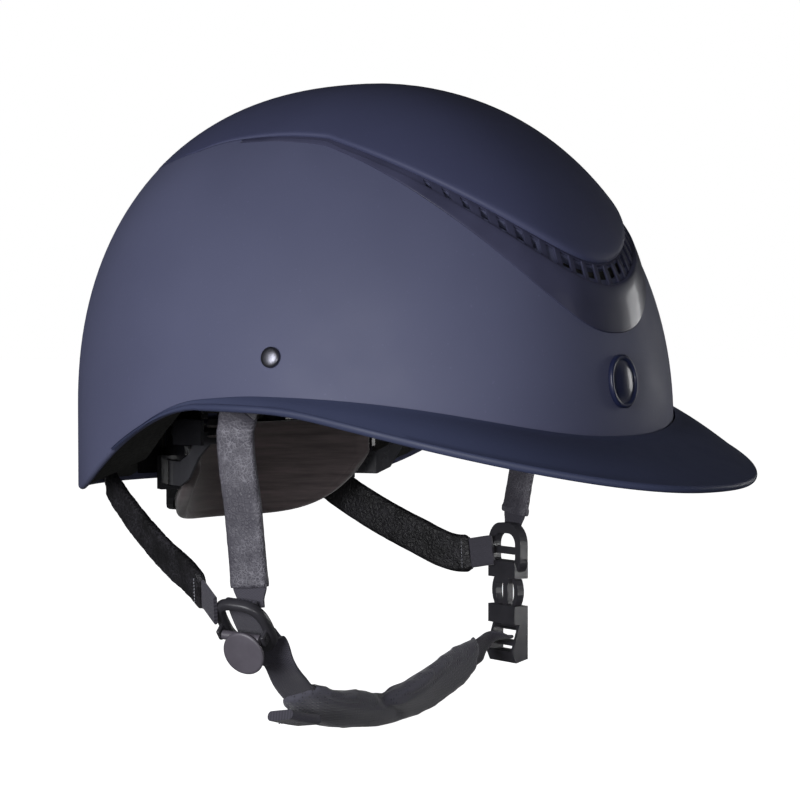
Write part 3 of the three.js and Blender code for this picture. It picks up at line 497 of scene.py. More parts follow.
# ---- Materials -------------------------------------------------------------
def linear(red, green, blue):
    """A colour from 0-255 sRGB values, as linear light."""
    def one(value):
        value /= 255
        return value / 12.92 if value <= 0.04045 else ((value + 0.055) / 1.055) ** 2.4
    return (one(red), one(green), one(blue), 1.0)


class Shader:
    """Writes a node material one line at a time."""

    def __init__(self, name):
        self.material = bpy.data.materials.new(name)
        self.material.use_nodes = True
        self.tree = self.material.node_tree
        self.bsdf = self.tree.nodes["Principled BSDF"]
        self.place = self.node("TexCoord").outputs["Object"]

    def node(self, kind, **settings):
        made = self.tree.nodes.new("ShaderNode" + kind)
        for key, value in settings.items():
            setattr(made, key, value)
        return made

    def tuned(self, kind, inputs, **settings):
        """A node with its named inputs set, each to a value or to another node's output."""
        made = self.node(kind, **settings)
        for key, value in inputs.items():
            self.feed(made.inputs[key], value)
        return made

    def feed(self, socket, value):
        if isinstance(value, bpy.types.NodeSocket):
            self.tree.links.new(value, socket)
        elif value is not None:
            socket.default_value = value

    def set(self, **values):
        for key, value in values.items():
            self.feed(self.bsdf.inputs[key.replace("_", " ")], value)

    def attribute(self, name):
        return self.node("Attribute", attribute_name=name).outputs["Vector"]

    def noise(self, scale, detail=2.0, rough=0.5, place=None):
        inputs = {"Vector": place or self.place, "Scale": scale, "Detail": detail, "Roughness": rough}
        return self.tuned("TexNoise", inputs).outputs["Fac"]

    def cells(self, scale, feature="F1", random=1.0, place=None):
        inputs = {"Vector": place or self.place, "Scale": scale, "Randomness": random}
        return self.tuned("TexVoronoi", inputs, feature=feature).outputs["Distance"]

    def stretch(self, place, x, y, z):
        return self.tuned("Mapping", {"Vector": place, "Scale": (x, y, z)}).outputs["Vector"]

    def warp(self, place, scale, amount):
        """Coordinates pushed about by noise, so that a pattern isn't regular."""
        push = self.tuned("TexNoise", {"Vector": place, "Scale": scale}).outputs["Color"]
        small = self.tuned("VectorMath", {0: push, "Scale": amount}, operation="SCALE")
        moved = self.tuned("VectorMath", {0: place, 1: small.outputs["Vector"]}, operation="ADD")
        return moved.outputs["Vector"]

    def math(self, operation, a, b=None):
        return self.tuned("Math", {0: a, 1: b}, operation=operation).outputs[0]

    def remap(self, value, low, high, to_low=0.0, to_high=1.0):
        inputs = {"Value": value, "From Min": low, "From Max": high, "To Min": to_low, "To Max": to_high}
        return self.tuned("MapRange", inputs).outputs["Result"]

    def blend(self, factor, a, b):
        return self.tuned("Mix", {0: factor, 6: a, 7: b}, data_type="RGBA").outputs[2]

    def bump(self, height, strength, distance):
        inputs = {"Height": height, "Strength": strength, "Distance": distance * MM}
        return self.tuned("Bump", inputs).outputs["Normal"]

    def split(self, vector):
        return self.tuned("SeparateXYZ", {"Vector": vector}).outputs


def scaled(colour, factor):
    return tuple(min(value * factor, 1.0) for value in colour[:3]) + (1.0,)


def soft_lacquer(name, colour, rough=0.5):
    """Matte soft-touch lacquer: a very fine orange peel, cloudy tone and specks of dust."""
    s = Shader(name)
    cloud = s.noise(14, 3)
    peel = s.noise(2600, 2)
    speck = s.remap(s.noise(900, 1, 0.3), 0.72, 0.8)
    tone = s.blend(s.remap(cloud, 0.3, 0.7), scaled(colour, 0.95), scaled(colour, 1.06))
    s.set(Base_Color=s.blend(s.math("MULTIPLY", speck, 0.25), tone, scaled(colour, 1.6)))
    s.set(Roughness=s.remap(s.noise(60, 4), 0.3, 0.7, rough - 0.04, rough + 0.05))
    s.set(Normal=s.bump(peel, 0.12, 0.05), Specular_IOR_Level=0.3)
    return s.material


def gloss_lacquer(name, colour, rough=0.07, coat=0.6):
    """Polished lacquer with the faint waviness of a moulded part under it."""
    s = Shader(name)
    tone = s.blend(s.remap(s.noise(40, 2), 0.35, 0.65), scaled(colour, 0.85), scaled(colour, 1.2))
    s.set(Base_Color=tone, Roughness=s.remap(s.noise(300, 3), 0.3, 0.8, rough, rough + 0.07))
    s.set(Normal=s.bump(s.noise(160, 1), 0.08, 0.08), Coat_Weight=coat,
          Specular_IOR_Level=0.3, Coat_Roughness=0.05)
    return s.material


def moulded_plastic(name, colour, rough=0.38, grain=0.25):
    """Moulded plastic with a fine spark-eroded grain and scuffed roughness."""
    s = Shader(name)
    grit = s.noise(1900, 3, 0.7)
    wear = s.noise(55, 5, 0.6)
    s.set(Base_Color=s.blend(s.remap(wear, 0.35, 0.75), scaled(colour, 0.85), scaled(colour, 1.35)))
    s.set(Roughness=s.remap(wear, 0.3, 0.75, rough - 0.07, rough + 0.1))
    s.set(Normal=s.bump(grit, grain, 0.06), IOR=1.49)
    return s.material


def metal(name, colour, rough=0.32):
    """Metal with fine tumbled marks."""
    s = Shader(name)
    marks = s.noise(1400, 4, 0.65)
    s.set(Base_Color=s.blend(s.noise(120, 3), scaled(colour, 0.75), scaled(colour, 1.3)), Metallic=1.0)
    s.set(Roughness=s.remap(marks, 0.25, 0.75, rough - 0.1, rough + 0.12))
    s.set(Normal=s.bump(marks, 0.18, 0.04))
    return s.material


def crackled_leather(name, colour, light, size=1.0):
    """Pebbled leather: irregular plates with finer pores between; the ridges are painted pale as a
    highlight where they catch light.
    """
    s = Shader(name)
    place = s.warp(s.place, 240 / size, 0.0016 * size)
    large = s.cells(430 / size, "DISTANCE_TO_EDGE", 1.0, place)
    small = s.cells(1150 / size, "DISTANCE_TO_EDGE", 1.0, place)
    ridge = s.remap(large, 0.0, 0.1, 1.0, 0.0)
    fine = s.remap(small, 0.0, 0.16, 1.0, 0.0)
    mask = s.remap(s.noise(90, 3), 0.38, 0.62)
    # Painted highlight: the plates' ridges, patchy by the mask, are mixed towards the pale colour where
    # raised edges would catch light.
    ridge_highlight = s.math("MULTIPLY", s.math("MAXIMUM", ridge, s.math("MULTIPLY", fine, 0.45)), mask)
    tone = s.blend(s.noise(70, 4), scaled(colour, 0.8), scaled(colour, 1.25))
    s.set(Base_Color=s.blend(s.math("MULTIPLY", ridge_highlight, 0.75), tone, light))
    height = s.math("ADD", s.remap(large, 0.0, 0.2), s.math("MULTIPLY", s.remap(small, 0.0, 0.25), 0.4))
    s.set(Normal=s.bump(height, 0.75, 0.22), Roughness=s.remap(height, 0, 1.3, 0.62, 0.42))
    return s.material


def woven_webbing(name, colour, pitch=0.62, bands=9):
    """Nylon webbing: fine ribs across the strap, broken into lengthwise bands."""
    s = Shader(name)
    u, v, _ = s.split(s.attribute("flow"))
    band = s.math("SINE", s.math("MULTIPLY", u, bands * 2 * math.pi / WEB_WIDE))
    shifted = s.math("ADD", v, s.math("MULTIPLY", s.math("SIGN", band), pitch / 4))
    rib = s.math("SINE", s.math("MULTIPLY", shifted, 2 * math.pi / pitch))
    weave = s.math("MULTIPLY", s.remap(rib, -1, 1), s.remap(s.math("ABSOLUTE", band), 0, 0.6, 0.55, 1))
    fluff = s.noise(2400, 3, 0.7)
    tone = s.blend(weave, scaled(colour, 0.55), scaled(colour, 1.35))
    s.set(Base_Color=s.blend(s.math("MULTIPLY", fluff, 0.3), tone, scaled(colour, 1.8)))
    s.set(Normal=s.bump(s.math("ADD", weave, s.math("MULTIPLY", fluff, 0.3)), 0.6, 0.18))
    s.set(Roughness=0.72, Sheen_Weight=0.25, Sheen_Roughness=0.4)
    return s.material


def spacer_mesh(name, colour):
    """Padded mesh cloth: rows of small dark holes in a soft knit."""
    s = Shader(name)
    place = s.warp(s.place, 120, 0.0008)
    knit = s.cells(700, "F1", 0.25, place)
    hole = s.remap(knit, 0.12, 0.4)
    yarn = s.noise(3000, 3, 0.7)
    tone = s.blend(hole, scaled(colour, 0.25), scaled(colour, 1.15))
    s.set(Base_Color=s.blend(s.math("MULTIPLY", yarn, 0.45), tone, scaled(colour, 1.7)))
    s.set(Normal=s.bump(s.math("ADD", hole, s.math("MULTIPLY", yarn, 0.35)), 0.7, 0.3))
    s.set(Roughness=0.85, Sheen_Weight=0.35, Sheen_Roughness=0.45)
    return s.material


def brushed_cloth(name, colour, light, nap=0.5):
    """Short-napped lining cloth with brushed streaks."""
    s = Shader(name)
    streak = s.noise(150, 4, 0.6, s.stretch(s.place, 0.25, 0.25, 3.2))
    fibre = s.noise(2600, 4, 0.75)
    tone = s.blend(s.remap(streak, 0.3, 0.7), scaled(colour, 0.7), light)
    s.set(Base_Color=s.blend(s.math("MULTIPLY", fibre, 0.5), tone, scaled(colour, 0.5)))
    s.set(Normal=s.bump(s.math("ADD", fibre, streak), 0.45, 0.2))
    s.set(Roughness=0.95, Sheen_Weight=nap, Sheen_Roughness=0.5)
    return s.material


def bead_foam(name, colour):
    """Moulded bead foam: closely packed beads with dark gaps."""
    s = Shader(name)
    place = s.warp(s.place, 200, 0.0006)
    bead = s.cells(330, "DISTANCE_TO_EDGE", 0.9, place)
    gap = s.remap(bead, 0.0, 0.12)
    skin = s.noise(900, 3)
    tone = s.blend(gap, scaled(colour, 0.35), scaled(colour, 1.2))
    s.set(Base_Color=s.blend(s.math("MULTIPLY", skin, 0.3), tone, scaled(colour, 1.6)))
    s.set(Normal=s.bump(gap, 0.45, 0.35), Roughness=0.82)
    return s.material


def thread(name, colour):
    """Twisted sewing thread."""
    s = Shader(name)
    twist = s.noise(3800, 2, 0.6)
    s.set(Base_Color=s.blend(twist, scaled(colour, 0.6), scaled(colour, 1.4)))
    s.set(Normal=s.bump(twist, 0.5, 0.08), Roughness=0.7, Sheen_Weight=0.3)
    return s.material


NAVY = soft_lacquer("navy_soft_touch", (0.084, 0.09, 0.156, 1), 0.58)
# Partly painted shade: the crown panel is a darker copy of the shell's navy lacquer, partly its own tone
# and partly the shade of the helmet's top, which the lamps hardly reach.
PANEL_NAVY = soft_lacquer("panel_soft_touch", (0.05, 0.055, 0.112, 1), 0.58)
BRIM_NAVY = soft_lacquer("brim_soft_touch", (0.042, 0.05, 0.1, 1), 0.5)
GLOSS_NAVY = gloss_lacquer("gloss_navy", linear(58, 59, 80), 0.3, 0.15)
EMBLEM_NAVY = gloss_lacquer("emblem_navy", linear(30, 35, 62), 0.3, 0.2)
LEATHER = crackled_leather("pebbled_leather", linear(74, 72, 81), linear(148, 146, 155), 0.75)
# Partly painted shade: the rear leather's very dark colour is partly its own tone and partly the shade of
# the near rear strap, which hangs facing away from the light.
REAR_LEATHER = crackled_leather("rear_strap_leather", linear(15, 14, 17), linear(64, 62, 69), 0.9)
WEBBING = woven_webbing("nylon_webbing", linear(64, 62, 72))
CHIN_MESH = spacer_mesh("chin_spacer_mesh", linear(68, 67, 77))
NAPE_CLOTH = brushed_cloth("nape_cloth", linear(66, 57, 58), linear(92, 81, 82))
LINING = brushed_cloth("lining_cloth", linear(42, 42, 44), linear(60, 60, 62), 0.4)
FOAM = bead_foam("black_bead_foam", linear(46, 46, 44))
SATIN_PLASTIC = moulded_plastic("satin_acetal", linear(54, 53, 58), 0.36, 0.3)
LEVER_PLASTIC = moulded_plastic("lever_acetal", linear(88, 84, 92), 0.36, 0.25)
BLACK_PLASTIC = moulded_plastic("black_nylon", linear(24, 24, 27), 0.22, 0.08)
GREY_PLASTIC = moulded_plastic("band_plastic", linear(58, 58, 62), 0.3, 0.1)
GUNMETAL = metal("gunmetal", linear(104, 104, 112), 0.36)
STEEL = metal("plain_steel", linear(176, 178, 182), 0.3)
THREAD = thread("dark_thread", linear(70, 69, 76))
PALE_THREAD = thread("pale_thread", linear(140, 140, 148))


def finish_piece(obj, body, slot, *nodes):
    """Puts a piece on its CAD body, in place of CAD nodes. The slot argument is not used."""
    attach(obj, body)
    if nodes:
        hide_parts(*nodes)
    return obj


# ---- Outer casing ----------------------------------------------------------
def nose_outline(plan, turn):
    """Plan position on the outline of the crown panel or trim; turn 0 is the nose.

    Past a quarter turn the outline runs back along the flank, a millimetre per degree.
    """
    back = math.degrees(abs(turn)) - 90
    if back > 0:
        return plan["x"] - back, math.copysign(plan["half"] + plan["flare"] * back, turn)
    power = 2 / plan["power"]
    return (
        plan["x"] + plan["length"] * abs(math.cos(turn)) ** power,
        plan["half"] * sgn_pow(math.sin(turn), power),
    )


def vent_frame(turn):
    """Where the trim crosses the crown panel's edge: point, outward direction, normal, reach."""
    inner = nose_outline(CROWN_PLAN, turn)
    outer = nose_outline(TRIM_PLAN, turn)
    edge = crown_at(*inner, 0)
    normal = crown_normal(*inner)
    reach = crown_at(*outer, 0) - edge
    return edge, reach.normalized(), normal, reach.length


def air_opening(start, end):
    """Cutter for one long opening in the shell behind the slots."""
    rings = []
    for i in range(25):
        edge, out, normal, _ = vent_frame(math.radians(mix(start, end, i / 24)))
        turn = math.radians(mix(start, end, i / 24))
        reach = 3 + 3 * math.cos(turn) ** 2
        corners = ((1.5, -8), (reach, -8), (reach, 8), (1.5, 8))
        rings.append([edge + out * u + normal * v for u, v in corners])
    return make_object("cutter", *loft(rings))


def build_shell():
    rim = rim_z
    verts, faces = bowl(0, SHELL["thick"], rim, rim, 192, 44, lip=6)
    shell = make_object("lacquered_shell", verts, faces)
    for start, end in ((-64, -27), (-20, 20), (27, 64)):
        boolean(shell, air_opening(start, end), "DIFFERENCE")
    use_material(shell, NAVY, SMOOTH_ANGLE)
    return finish_piece(shell, "helmet", "shell_navy", "outer_shell")


def crown_outline(count=220):
    """Plan outline of the crown panel, evenly dense: nose, flank, tail, flank."""
    points = []
    nose = count // 2
    for i in range(nose + 1):
        points.append(nose_outline(CROWN_PLAN, math.radians(mix(-90, 90, i / nose))))
    widen = CROWN_PLAN["flare"] * (CROWN_PLAN["x"] - CROWN_PLAN["tail"])
    half_tail = CROWN_PLAN["half"] + widen
    flank = 22
    left = []
    for i in range(1, flank):
        x = mix(CROWN_PLAN["x"], CROWN_PLAN["tail"], i / flank)
        left.append((x, CROWN_PLAN["half"] + widen * i / flank))
    tail = 56
    rear = []
    for i in range(tail + 1):
        turn = math.pi * i / tail
        rear.append((
            mix(CROWN_PLAN["tail"], CROWN_PLAN["rear"], math.sin(turn) ** 0.8),
            half_tail * sgn_pow(math.cos(turn), 0.8),
        ))
    right = [(x, -y) for x, y in reversed(left)]
    return points + left + rear + right


def panel_lift(x):
    """How far the panel's top stands off the shell: proud at the nose, sinking at the tail."""
    return 0.15 + 1.75 * smooth((x + 62) / 75) + 0.8 * smooth((x + 10) / 70)


def build_crown_panel():
    outline = crown_outline()
    centre = (6, 0)
    inner = 22
    rings = [[crown_at(*centre, panel_lift(centre[0]))]]
    for k in range(1, inner + 1):
        t = 0.975 * (k / inner) ** 0.8
        ring = []
        for x, y in outline:
            px, py = mix(centre[0], x, t), mix(centre[1], y, t)
            ring.append(crown_at(px, py, panel_lift(px)))
        rings.append(ring)
    # The edge rolls over to the underside.
    for drop, t in ((0.02, 0.984), (0.1, 0.991), (0.3, 0.996), (0.65, 0.998), (0.95, 0.995)):
        ring = []
        for x, y in outline:
            px, py = mix(centre[0], x, t), mix(centre[1], y, t)
            ring.append(crown_at(px, py, mix(panel_lift(px), 0.03, drop)))
        rings.append(ring)
    for t in (0.9, 0.6, 0.3):
        rings.append([crown_at(mix(centre[0], x, t), mix(centre[1], y, t), 0.03) for x, y in outline])
    rings.append([crown_at(*centre, 0.03)])
    panel = make_object("crown_panel_skin", *loft(rings), PANEL_NAVY)
    return finish_piece(panel, "helmet", "panel_navy", "crown_panel")


def slot_turns():
    return [SLOT["spread"] * (2 * i / (SLOT["count"] - 1) - 1) for i in range(SLOT["count"])]


def slot_size(turn):
    """Width and length of the slot at a turn; slots grow towards the nose."""
    nose = max(math.cos(turn / SLOT["spread"] * math.radians(80)), 0)
    return SLOT["wide"] * (0.62 + 0.38 * nose), mix(SLOT["short"], SLOT["long"], nose)


def trim_columns():
    """Turns of the trim's mesh columns, with the columns that bound each slot marked."""
    columns = []
    turns = slot_turns()
    halves = []
    for turn in turns:
        edge = vent_frame(turn)[0]
        per_radian = (vent_frame(turn + 0.01)[0] - edge).length / 0.01
        halves.append(slot_size(turn)[0] / 2 / per_radian)
    def spread(start, end, count, is_slot):
        for i in range(count):
            columns.append((mix(start, end, i / count), is_slot))
    limit = math.pi / 2 + math.radians(TRIM_TAIL)
    spread(-limit, turns[0] - halves[0], 34, False)
    for i, turn in enumerate(turns):
        spread(turn - halves[i], turn + halves[i], 3, True)
        after = turns[i + 1] - halves[i + 1] if i + 1 < len(turns) else limit
        spread(turn + halves[i], after, 4 if i + 1 < len(turns) else 34, False)
    columns.append((limit, False))
    return columns


def trim_rows(turn, reach):
    """Distances out from the panel's edge and lifts of the trim's rows at a turn."""
    nose = max(math.cos(turn), 0)
    tail = smooth((math.degrees(abs(turn)) - 88) / TRIM_TAIL)  # sinks into the shell at its ends
    start = 0.4
    long = max(min(slot_size(turn)[1], reach - 2.2), 0.3 * reach)
    slot_end = start + long
    ledge = slot_end + 0.25 + 0.35 * nose
    floor = mix(0.85, 0.06, tail)
    crest = floor + 0.1 + 1.25 * smooth((nose - 0.55) / 0.4)
    rest = max(reach - ledge, 0.3)
    edge = mix(0.6, 0.05, tail)
    return [
        (-2.2, floor * 0.6), (-0.6, floor * 0.8), (start, floor),
        (start + long * 0.34, floor), (start + long * 0.67, floor), (slot_end, floor + 0.02),
        (slot_end + 0.12, floor + 0.05), (ledge, crest),
        (ledge + rest * 0.08, crest + 0.06), (ledge + rest * 0.3, mix(crest, edge, 0.2)),
        (ledge + rest * 0.55, mix(crest, edge, 0.45)), (ledge + rest * 0.8, mix(crest, edge, 0.75)),
        (ledge + rest * 0.96, edge), (ledge + rest, edge * 0.8),
        (ledge + rest + 0.25, 0.02),
    ]


SLOT_ROWS = range(2, 5)  # the rows of faces that a slot leaves open


def build_vent_trim():
    columns = trim_columns()
    grid = []
    for turn, _ in columns:
        inner = nose_outline(CROWN_PLAN, turn)
        outer = nose_outline(TRIM_PLAN, turn)
        _, _, _, reach = vent_frame(turn)
        column = []
        for distance, lift in trim_rows(turn, reach):
            t = distance / reach
            column.append(crown_at(mix(inner[0], outer[0], t), mix(inner[1], outer[1], t), lift))
        grid.append(column)
    rows = len(grid[0])
    verts = [p for column in grid for p in column]
    faces = []
    for c in range(len(columns) - 1):
        for r in range(rows - 1):
            if columns[c][1] and r in SLOT_ROWS:
                continue
            a = c * rows + r
            faces.append((a, a + 1, a + rows + 1, a + rows))
    trim = make_object("gloss_vent_trim", verts, faces, GLOSS_NAVY)
    skin = trim.modifiers.new("thickness", "SOLIDIFY")
    skin.thickness = 1.0 * MM
    skin.offset = -1
    add_bevel(trim, 0.16, 2, 50)
    apply_modifiers(trim)
    shade(trim, math.radians(35))
    return finish_piece(trim, "helmet", "gloss_navy", "vent_trim")


def brim_edge(theta):
    """Centre of the brim's rolled lip at plan angle theta."""
    front = max(math.cos(theta), 0)
    turn = abs(math.degrees(theta))
    fade = 1 - smooth((turn - BRIM["fade_from"]) / BRIM["fade_over"])
    out = vec(math.cos(theta), 0.19 * math.sin(theta), 0).normalized()
    side = wall_normal(theta, EQUATOR)
    side.z = 0
    out = out.lerp(side.normalized(), smooth((turn - 78) / 12)).normalized()
    reach = max(BRIM["side_reach"] * fade, 0.5) + BRIM["peak_reach"] * front**1.667
    edge = shell_at(theta, EQUATOR) + out * reach
    ahead = edge.x - BRIM["slope_start"]
    fall = BRIM["slope"] * (ahead + math.hypot(ahead, 15)) / 2
    edge.z = min(SIDE_RIM - fall, rim_z(theta)) if front > 0 else rim_z(theta)
    return edge, out, fade


def brim_section(theta):
    front = max(math.cos(theta), 0)
    edge, out, fade = brim_edge(theta)
    rim = rim_z(theta)
    root = rim + max(BRIM["band"] * fade, 0.7)
    lip = min(BRIM["lip"], (root - rim) / 3)
    edge.z += lip

    def wall(z, away):
        normal = wall_normal(theta, z)
        normal.z = 0
        return shell_at(theta, z) + normal.normalized() * away

    groove = wall(root - 0.9, 0.15)
    top_in, top_out = wall(root, 0.75), wall(root - lip * 0.25, 1.15)
    low_in = wall(rim, 0.15)
    crown = edge + vec(0, 0, lip)
    under = edge - vec(0, 0, lip)
    section = [groove, top_in, top_out]
    for k in range(1, 8):
        t = k / 8
        bulge = 1.3 * front * math.sin(math.pi * t) ** 1.2
        section.append(top_out.lerp(crown, t) + vec(0, 0, bulge))
    for k in range(9):
        angle = math.pi * (0.5 - k / 8)
        section.append(edge + out * lip * 0.95 * math.cos(angle) + vec(0, 0, lip * math.sin(angle)))
    for k in range(1, 8):
        t = k / 8
        section.append(under.lerp(low_in, t) + vec(0, 0, 0.9 * front * math.sin(math.pi * t)))
    section.append(low_in)
    return section


def build_brim():
    steps = 150
    end = math.radians(BRIM["end"])
    rings = [brim_section(mix(-end, end, i / steps)) for i in range(steps + 1)]
    brim = make_object("brim_skin", *loft(rings), BRIM_NAVY)
    return finish_piece(brim, "helmet", "brim_navy", "brim")


def build_emblem():
    """Plain oval badge with a raised rim and a domed middle."""
    low, high = box_mm("front_emblem")
    centre_z = (low.z + high.z) / 2
    half_high = (high.z - low.z) / 2
    half_wide = (high.y - low.y) / 2
    rings = []
    profile = [  # share of the badge's half size, height off the shell
        (1.0, 0.1), (1.0, 1.3), (0.97, 1.75), (0.92, 1.95), (0.86, 1.9), (0.82, 1.6),
        (0.79, 1.2), (0.7, 1.12), (0.55, 1.35), (0.35, 1.75), (0.15, 1.98),
    ]
    for size, lift in profile:
        ring = []
        for angle in round_angles(64):
            y = half_wide * size * math.cos(angle)
            z = centre_z + half_high * size * math.sin(angle)
            ring.append(wall_at(y / SHELL["front"], z, lift))
        rings.append(ring)
    rings.append([wall_at(0, centre_z, 2.02)])
    badge = make_object("oval_badge", *loft(rings), EMBLEM_NAVY)
    return finish_piece(badge, "helmet", "gloss_navy", "front_emblem")


RIVET = {"x": 28.8, "z": -77, "shank": 1.8, "near": math.radians(75)}


def rivet_place(side):
    """Where a side rivet crosses the shell, found by moving along the wall to its x."""
    x, z = RIVET["x"], RIVET["z"]
    theta = side * RIVET["near"]
    for _ in range(40):
        theta -= side * (x - shell_at(theta, z).x) / SHELL["half_width"]
    return shell_at(theta, z), wall_normal(theta, z)


def build_rivet(side):
    at, normal = rivet_place(side)
    shank = RIVET["shank"]
    profile = [(0, -10.2), (2.9, -10.2), (2.9, -9.2), (shank, -9.2), (shank, 0.1)]
    profile += [(3.9, 0.1), (4.05, 0.35), (4.05, 0.8)]
    for i in range(1, 12):
        angle = math.pi / 2 * i / 11
        profile.append((4.0 * math.cos(angle), 0.85 + 1.35 * math.sin(angle)))
    profile[-1] = (0, 2.2)
    rivet = make_object(f"domed_rivet_{WORD[side]}", *lathe(profile, at, normal), GUNMETAL)
    return finish_piece(rivet, "helmet", "gunmetal", f"side_rivet_{WORD[side]}")


# ---- Foam liner and pads ---------------------------------------------------
CRADLE_RECESS = ((-140, -27, -160), (-95, 27, -104))
POCKETS = (  # low and high corners, on the left side
    ((-14, 87, -130), (42, 120, -64)),  # front strap and rivet
    ((-112, 47, -140), (-78, 72, -104)),  # rear strap
    ((-108, 29, -140), (-90, 47.5, -93)),  # cradle guide
)


def build_liner():
    def outer_rim(theta):
        return rim_z(theta) + LINER["outer_lift"]

    def inner_rim(theta):
        return rim_z(theta) + LINER["inner_lift"]

    verts, faces = bowl(LINER["outer"], LINER["inner"], outer_rim, inner_rim, 144, 30)
    liner = make_object("foam_liner", verts, faces)
    boolean(liner, rounded_box(*CRADLE_RECESS, 4), "DIFFERENCE")
    for side in (RIGHT, LEFT):
        for low, high in POCKETS:
            ys = sorted((side * low[1], side * high[1]))
            cutter = rounded_box((low[0], ys[0], low[2]), (high[0], ys[1], high[2]), 3)
            boolean(liner, cutter, "DIFFERENCE")
    use_material(liner, FOAM, SMOOTH_ANGLE)
    return finish_piece(liner, "helmet", "foam", "eps_liner")


def settle(obj, voxel, pressure, cap, frames=20):
    """Puffs a closed soft form by cloth simulation, moving no point further than cap mm."""
    remesh = obj.modifiers.new("remesh", "REMESH")
    remesh.mode = "VOXEL"
    remesh.voxel_size = voxel * MM
    apply_modifiers(obj)
    rest = [v.co.copy() for v in obj.data.vertices]
    cloth = obj.modifiers.new("cloth", "CLOTH")
    cloth.settings.quality = 5
    cloth.settings.mass = 0.3
    cloth.settings.tension_stiffness = 25
    cloth.settings.compression_stiffness = 25
    cloth.settings.bending_stiffness = 0.6
    cloth.settings.use_pressure = True
    cloth.settings.uniform_pressure_force = pressure
    cloth.settings.effector_weights.gravity = 0
    for number in range(1, frames + 1):
        bpy.context.scene.frame_set(number)
    apply_modifiers(obj)
    bpy.context.scene.frame_set(1)
    for v, start in zip(obj.data.vertices, rest):
        move = v.co - start
        if move.length > cap * MM:
            v.co = start + move.normalized() * cap * MM
    subdivide(obj)
    return obj


def subdivide(obj, levels=1):
    more = obj.modifiers.new("subdivision", "SUBSURF")
    more.levels = levels
    more.render_levels = levels
    apply_modifiers(obj)
    shade(obj, math.radians(80))


def dent(obj, depth_at):
    """Moves each point inwards along its normal by depth_at(point in mm)."""
    obj.data.calc_loop_triangles()
    moves = []
    for v in obj.data.vertices:
        moves.append(v.normal * (-depth_at(v.co / MM) * MM))
    for v, move in zip(obj.data.vertices, moves):
        v.co += move
    obj.data.update()
    return obj


PAD_GAP = 1.8  # room between the liner and the crown pad


def build_crown_pad():
    low, high = box_mm("crown_pad")
    radius = (high.x - low.x) / 2
    cx = (high.x + low.x) / 2

    def roof(x, y):
        return shell_above(x, y, LINER["inner"] + PAD_GAP).z

    rings = [[vec(cx, 0, 0)]]
    for share, lift in ((0.25, 0), (0.5, 0), (0.72, 0), (0.86, 0.1), (0.94, 0.7), (0.985, 1.8), (1.0, 3.0)):
        rings.append([vec(cx + radius * share * math.cos(a), radius * share * math.sin(a), lift)
                      for a in round_angles(96)])
    for share, drop in ((0.99, 1.2), (0.96, 0.4), (0.88, 0), (0.6, 0), (0.3, 0)):
        ring = []
        for a in round_angles(96):
            x, y = cx + radius * share * math.cos(a), radius * share * math.sin(a)
            ring.append(vec(x, y, roof(x, y) - drop))
        rings.append(ring)
    rings.append([vec(cx, 0, roof(cx, 0))])
    pad = make_object("crown_cushion", *loft(rings), LINING)
    subdivide(pad, 2)

    def channel(p):
        if p.z > 2:
            return 0.0
        nearest = min(abs(p.y), abs(p.x - cx), abs(math.hypot(p.x - cx, p.y) - radius * 0.55))
        return 0.9 * math.exp(-((nearest / 1.1) ** 2))

    dent(pad, channel)
    return finish_piece(use_material(pad, LINING), "helmet", "lining", "crown_pad")


def build_headband():
    """Padded band round the inside of the liner, in soft segments."""
    reach = math.radians(105)
    count = 150
    segments = 9
    rings = []
    for i in range(count + 1):
        theta = mix(-reach, reach, i / count)
        low = max(rim_z(theta) + LINER["inner_lift"], -99) + 4
        phase = (i / count * segments) % 1
        puff = 0.5 + 0.5 * math.sin(math.pi * phase) ** 0.5
        end = min(i, count - i) / 5
        squeeze = 0.35 + 0.65 * smooth(end)
        section = []
        outline = (
            (0, 2.0), (10, 1.7), (20, 1.7), (31, 2.0), (33, 2.8), (31, 2.4 + 2.6 * puff),
            (24, 2.8 + 3.2 * puff), (15, 3.0 + 3.6 * puff), (6, 2.8 + 3.2 * puff), (1, 2.4 + 1.6 * puff),
        )
        for height, inset in outline:
            wall = LINER["inner"] + inset * squeeze + 0.4
            section.append(shell_at(theta, low + mix(16, height, 0.55 + 0.45 * smooth(end)), wall))
        rings.append(section)
    band = make_object("headband_cushion", *loft(rings), LINING)
    subdivide(band, 1)
    return finish_piece(use_material(band, LINING), "helmet", "lining", "headband_pad")


# ---- Nape cradle -----------------------------------------------------------
CRADLE_X = -47
CRADLE_SPAN = math.radians(76)
PAD_RADII = (49.6, 56.0)


def arc_at(radius, turn, z):
    """Point on the cradle's arcs; turn 0 is straight back, positive to the left."""
    return vec(CRADLE_X - radius * math.cos(turn), radius * math.sin(turn), z)


def nape_low(t):
    return -148.4 + 27 * abs(t) ** 4


def nape_high(t):
    return -108 + 3 * t * t - 8 * smooth((abs(t) - 0.86) / 0.14)


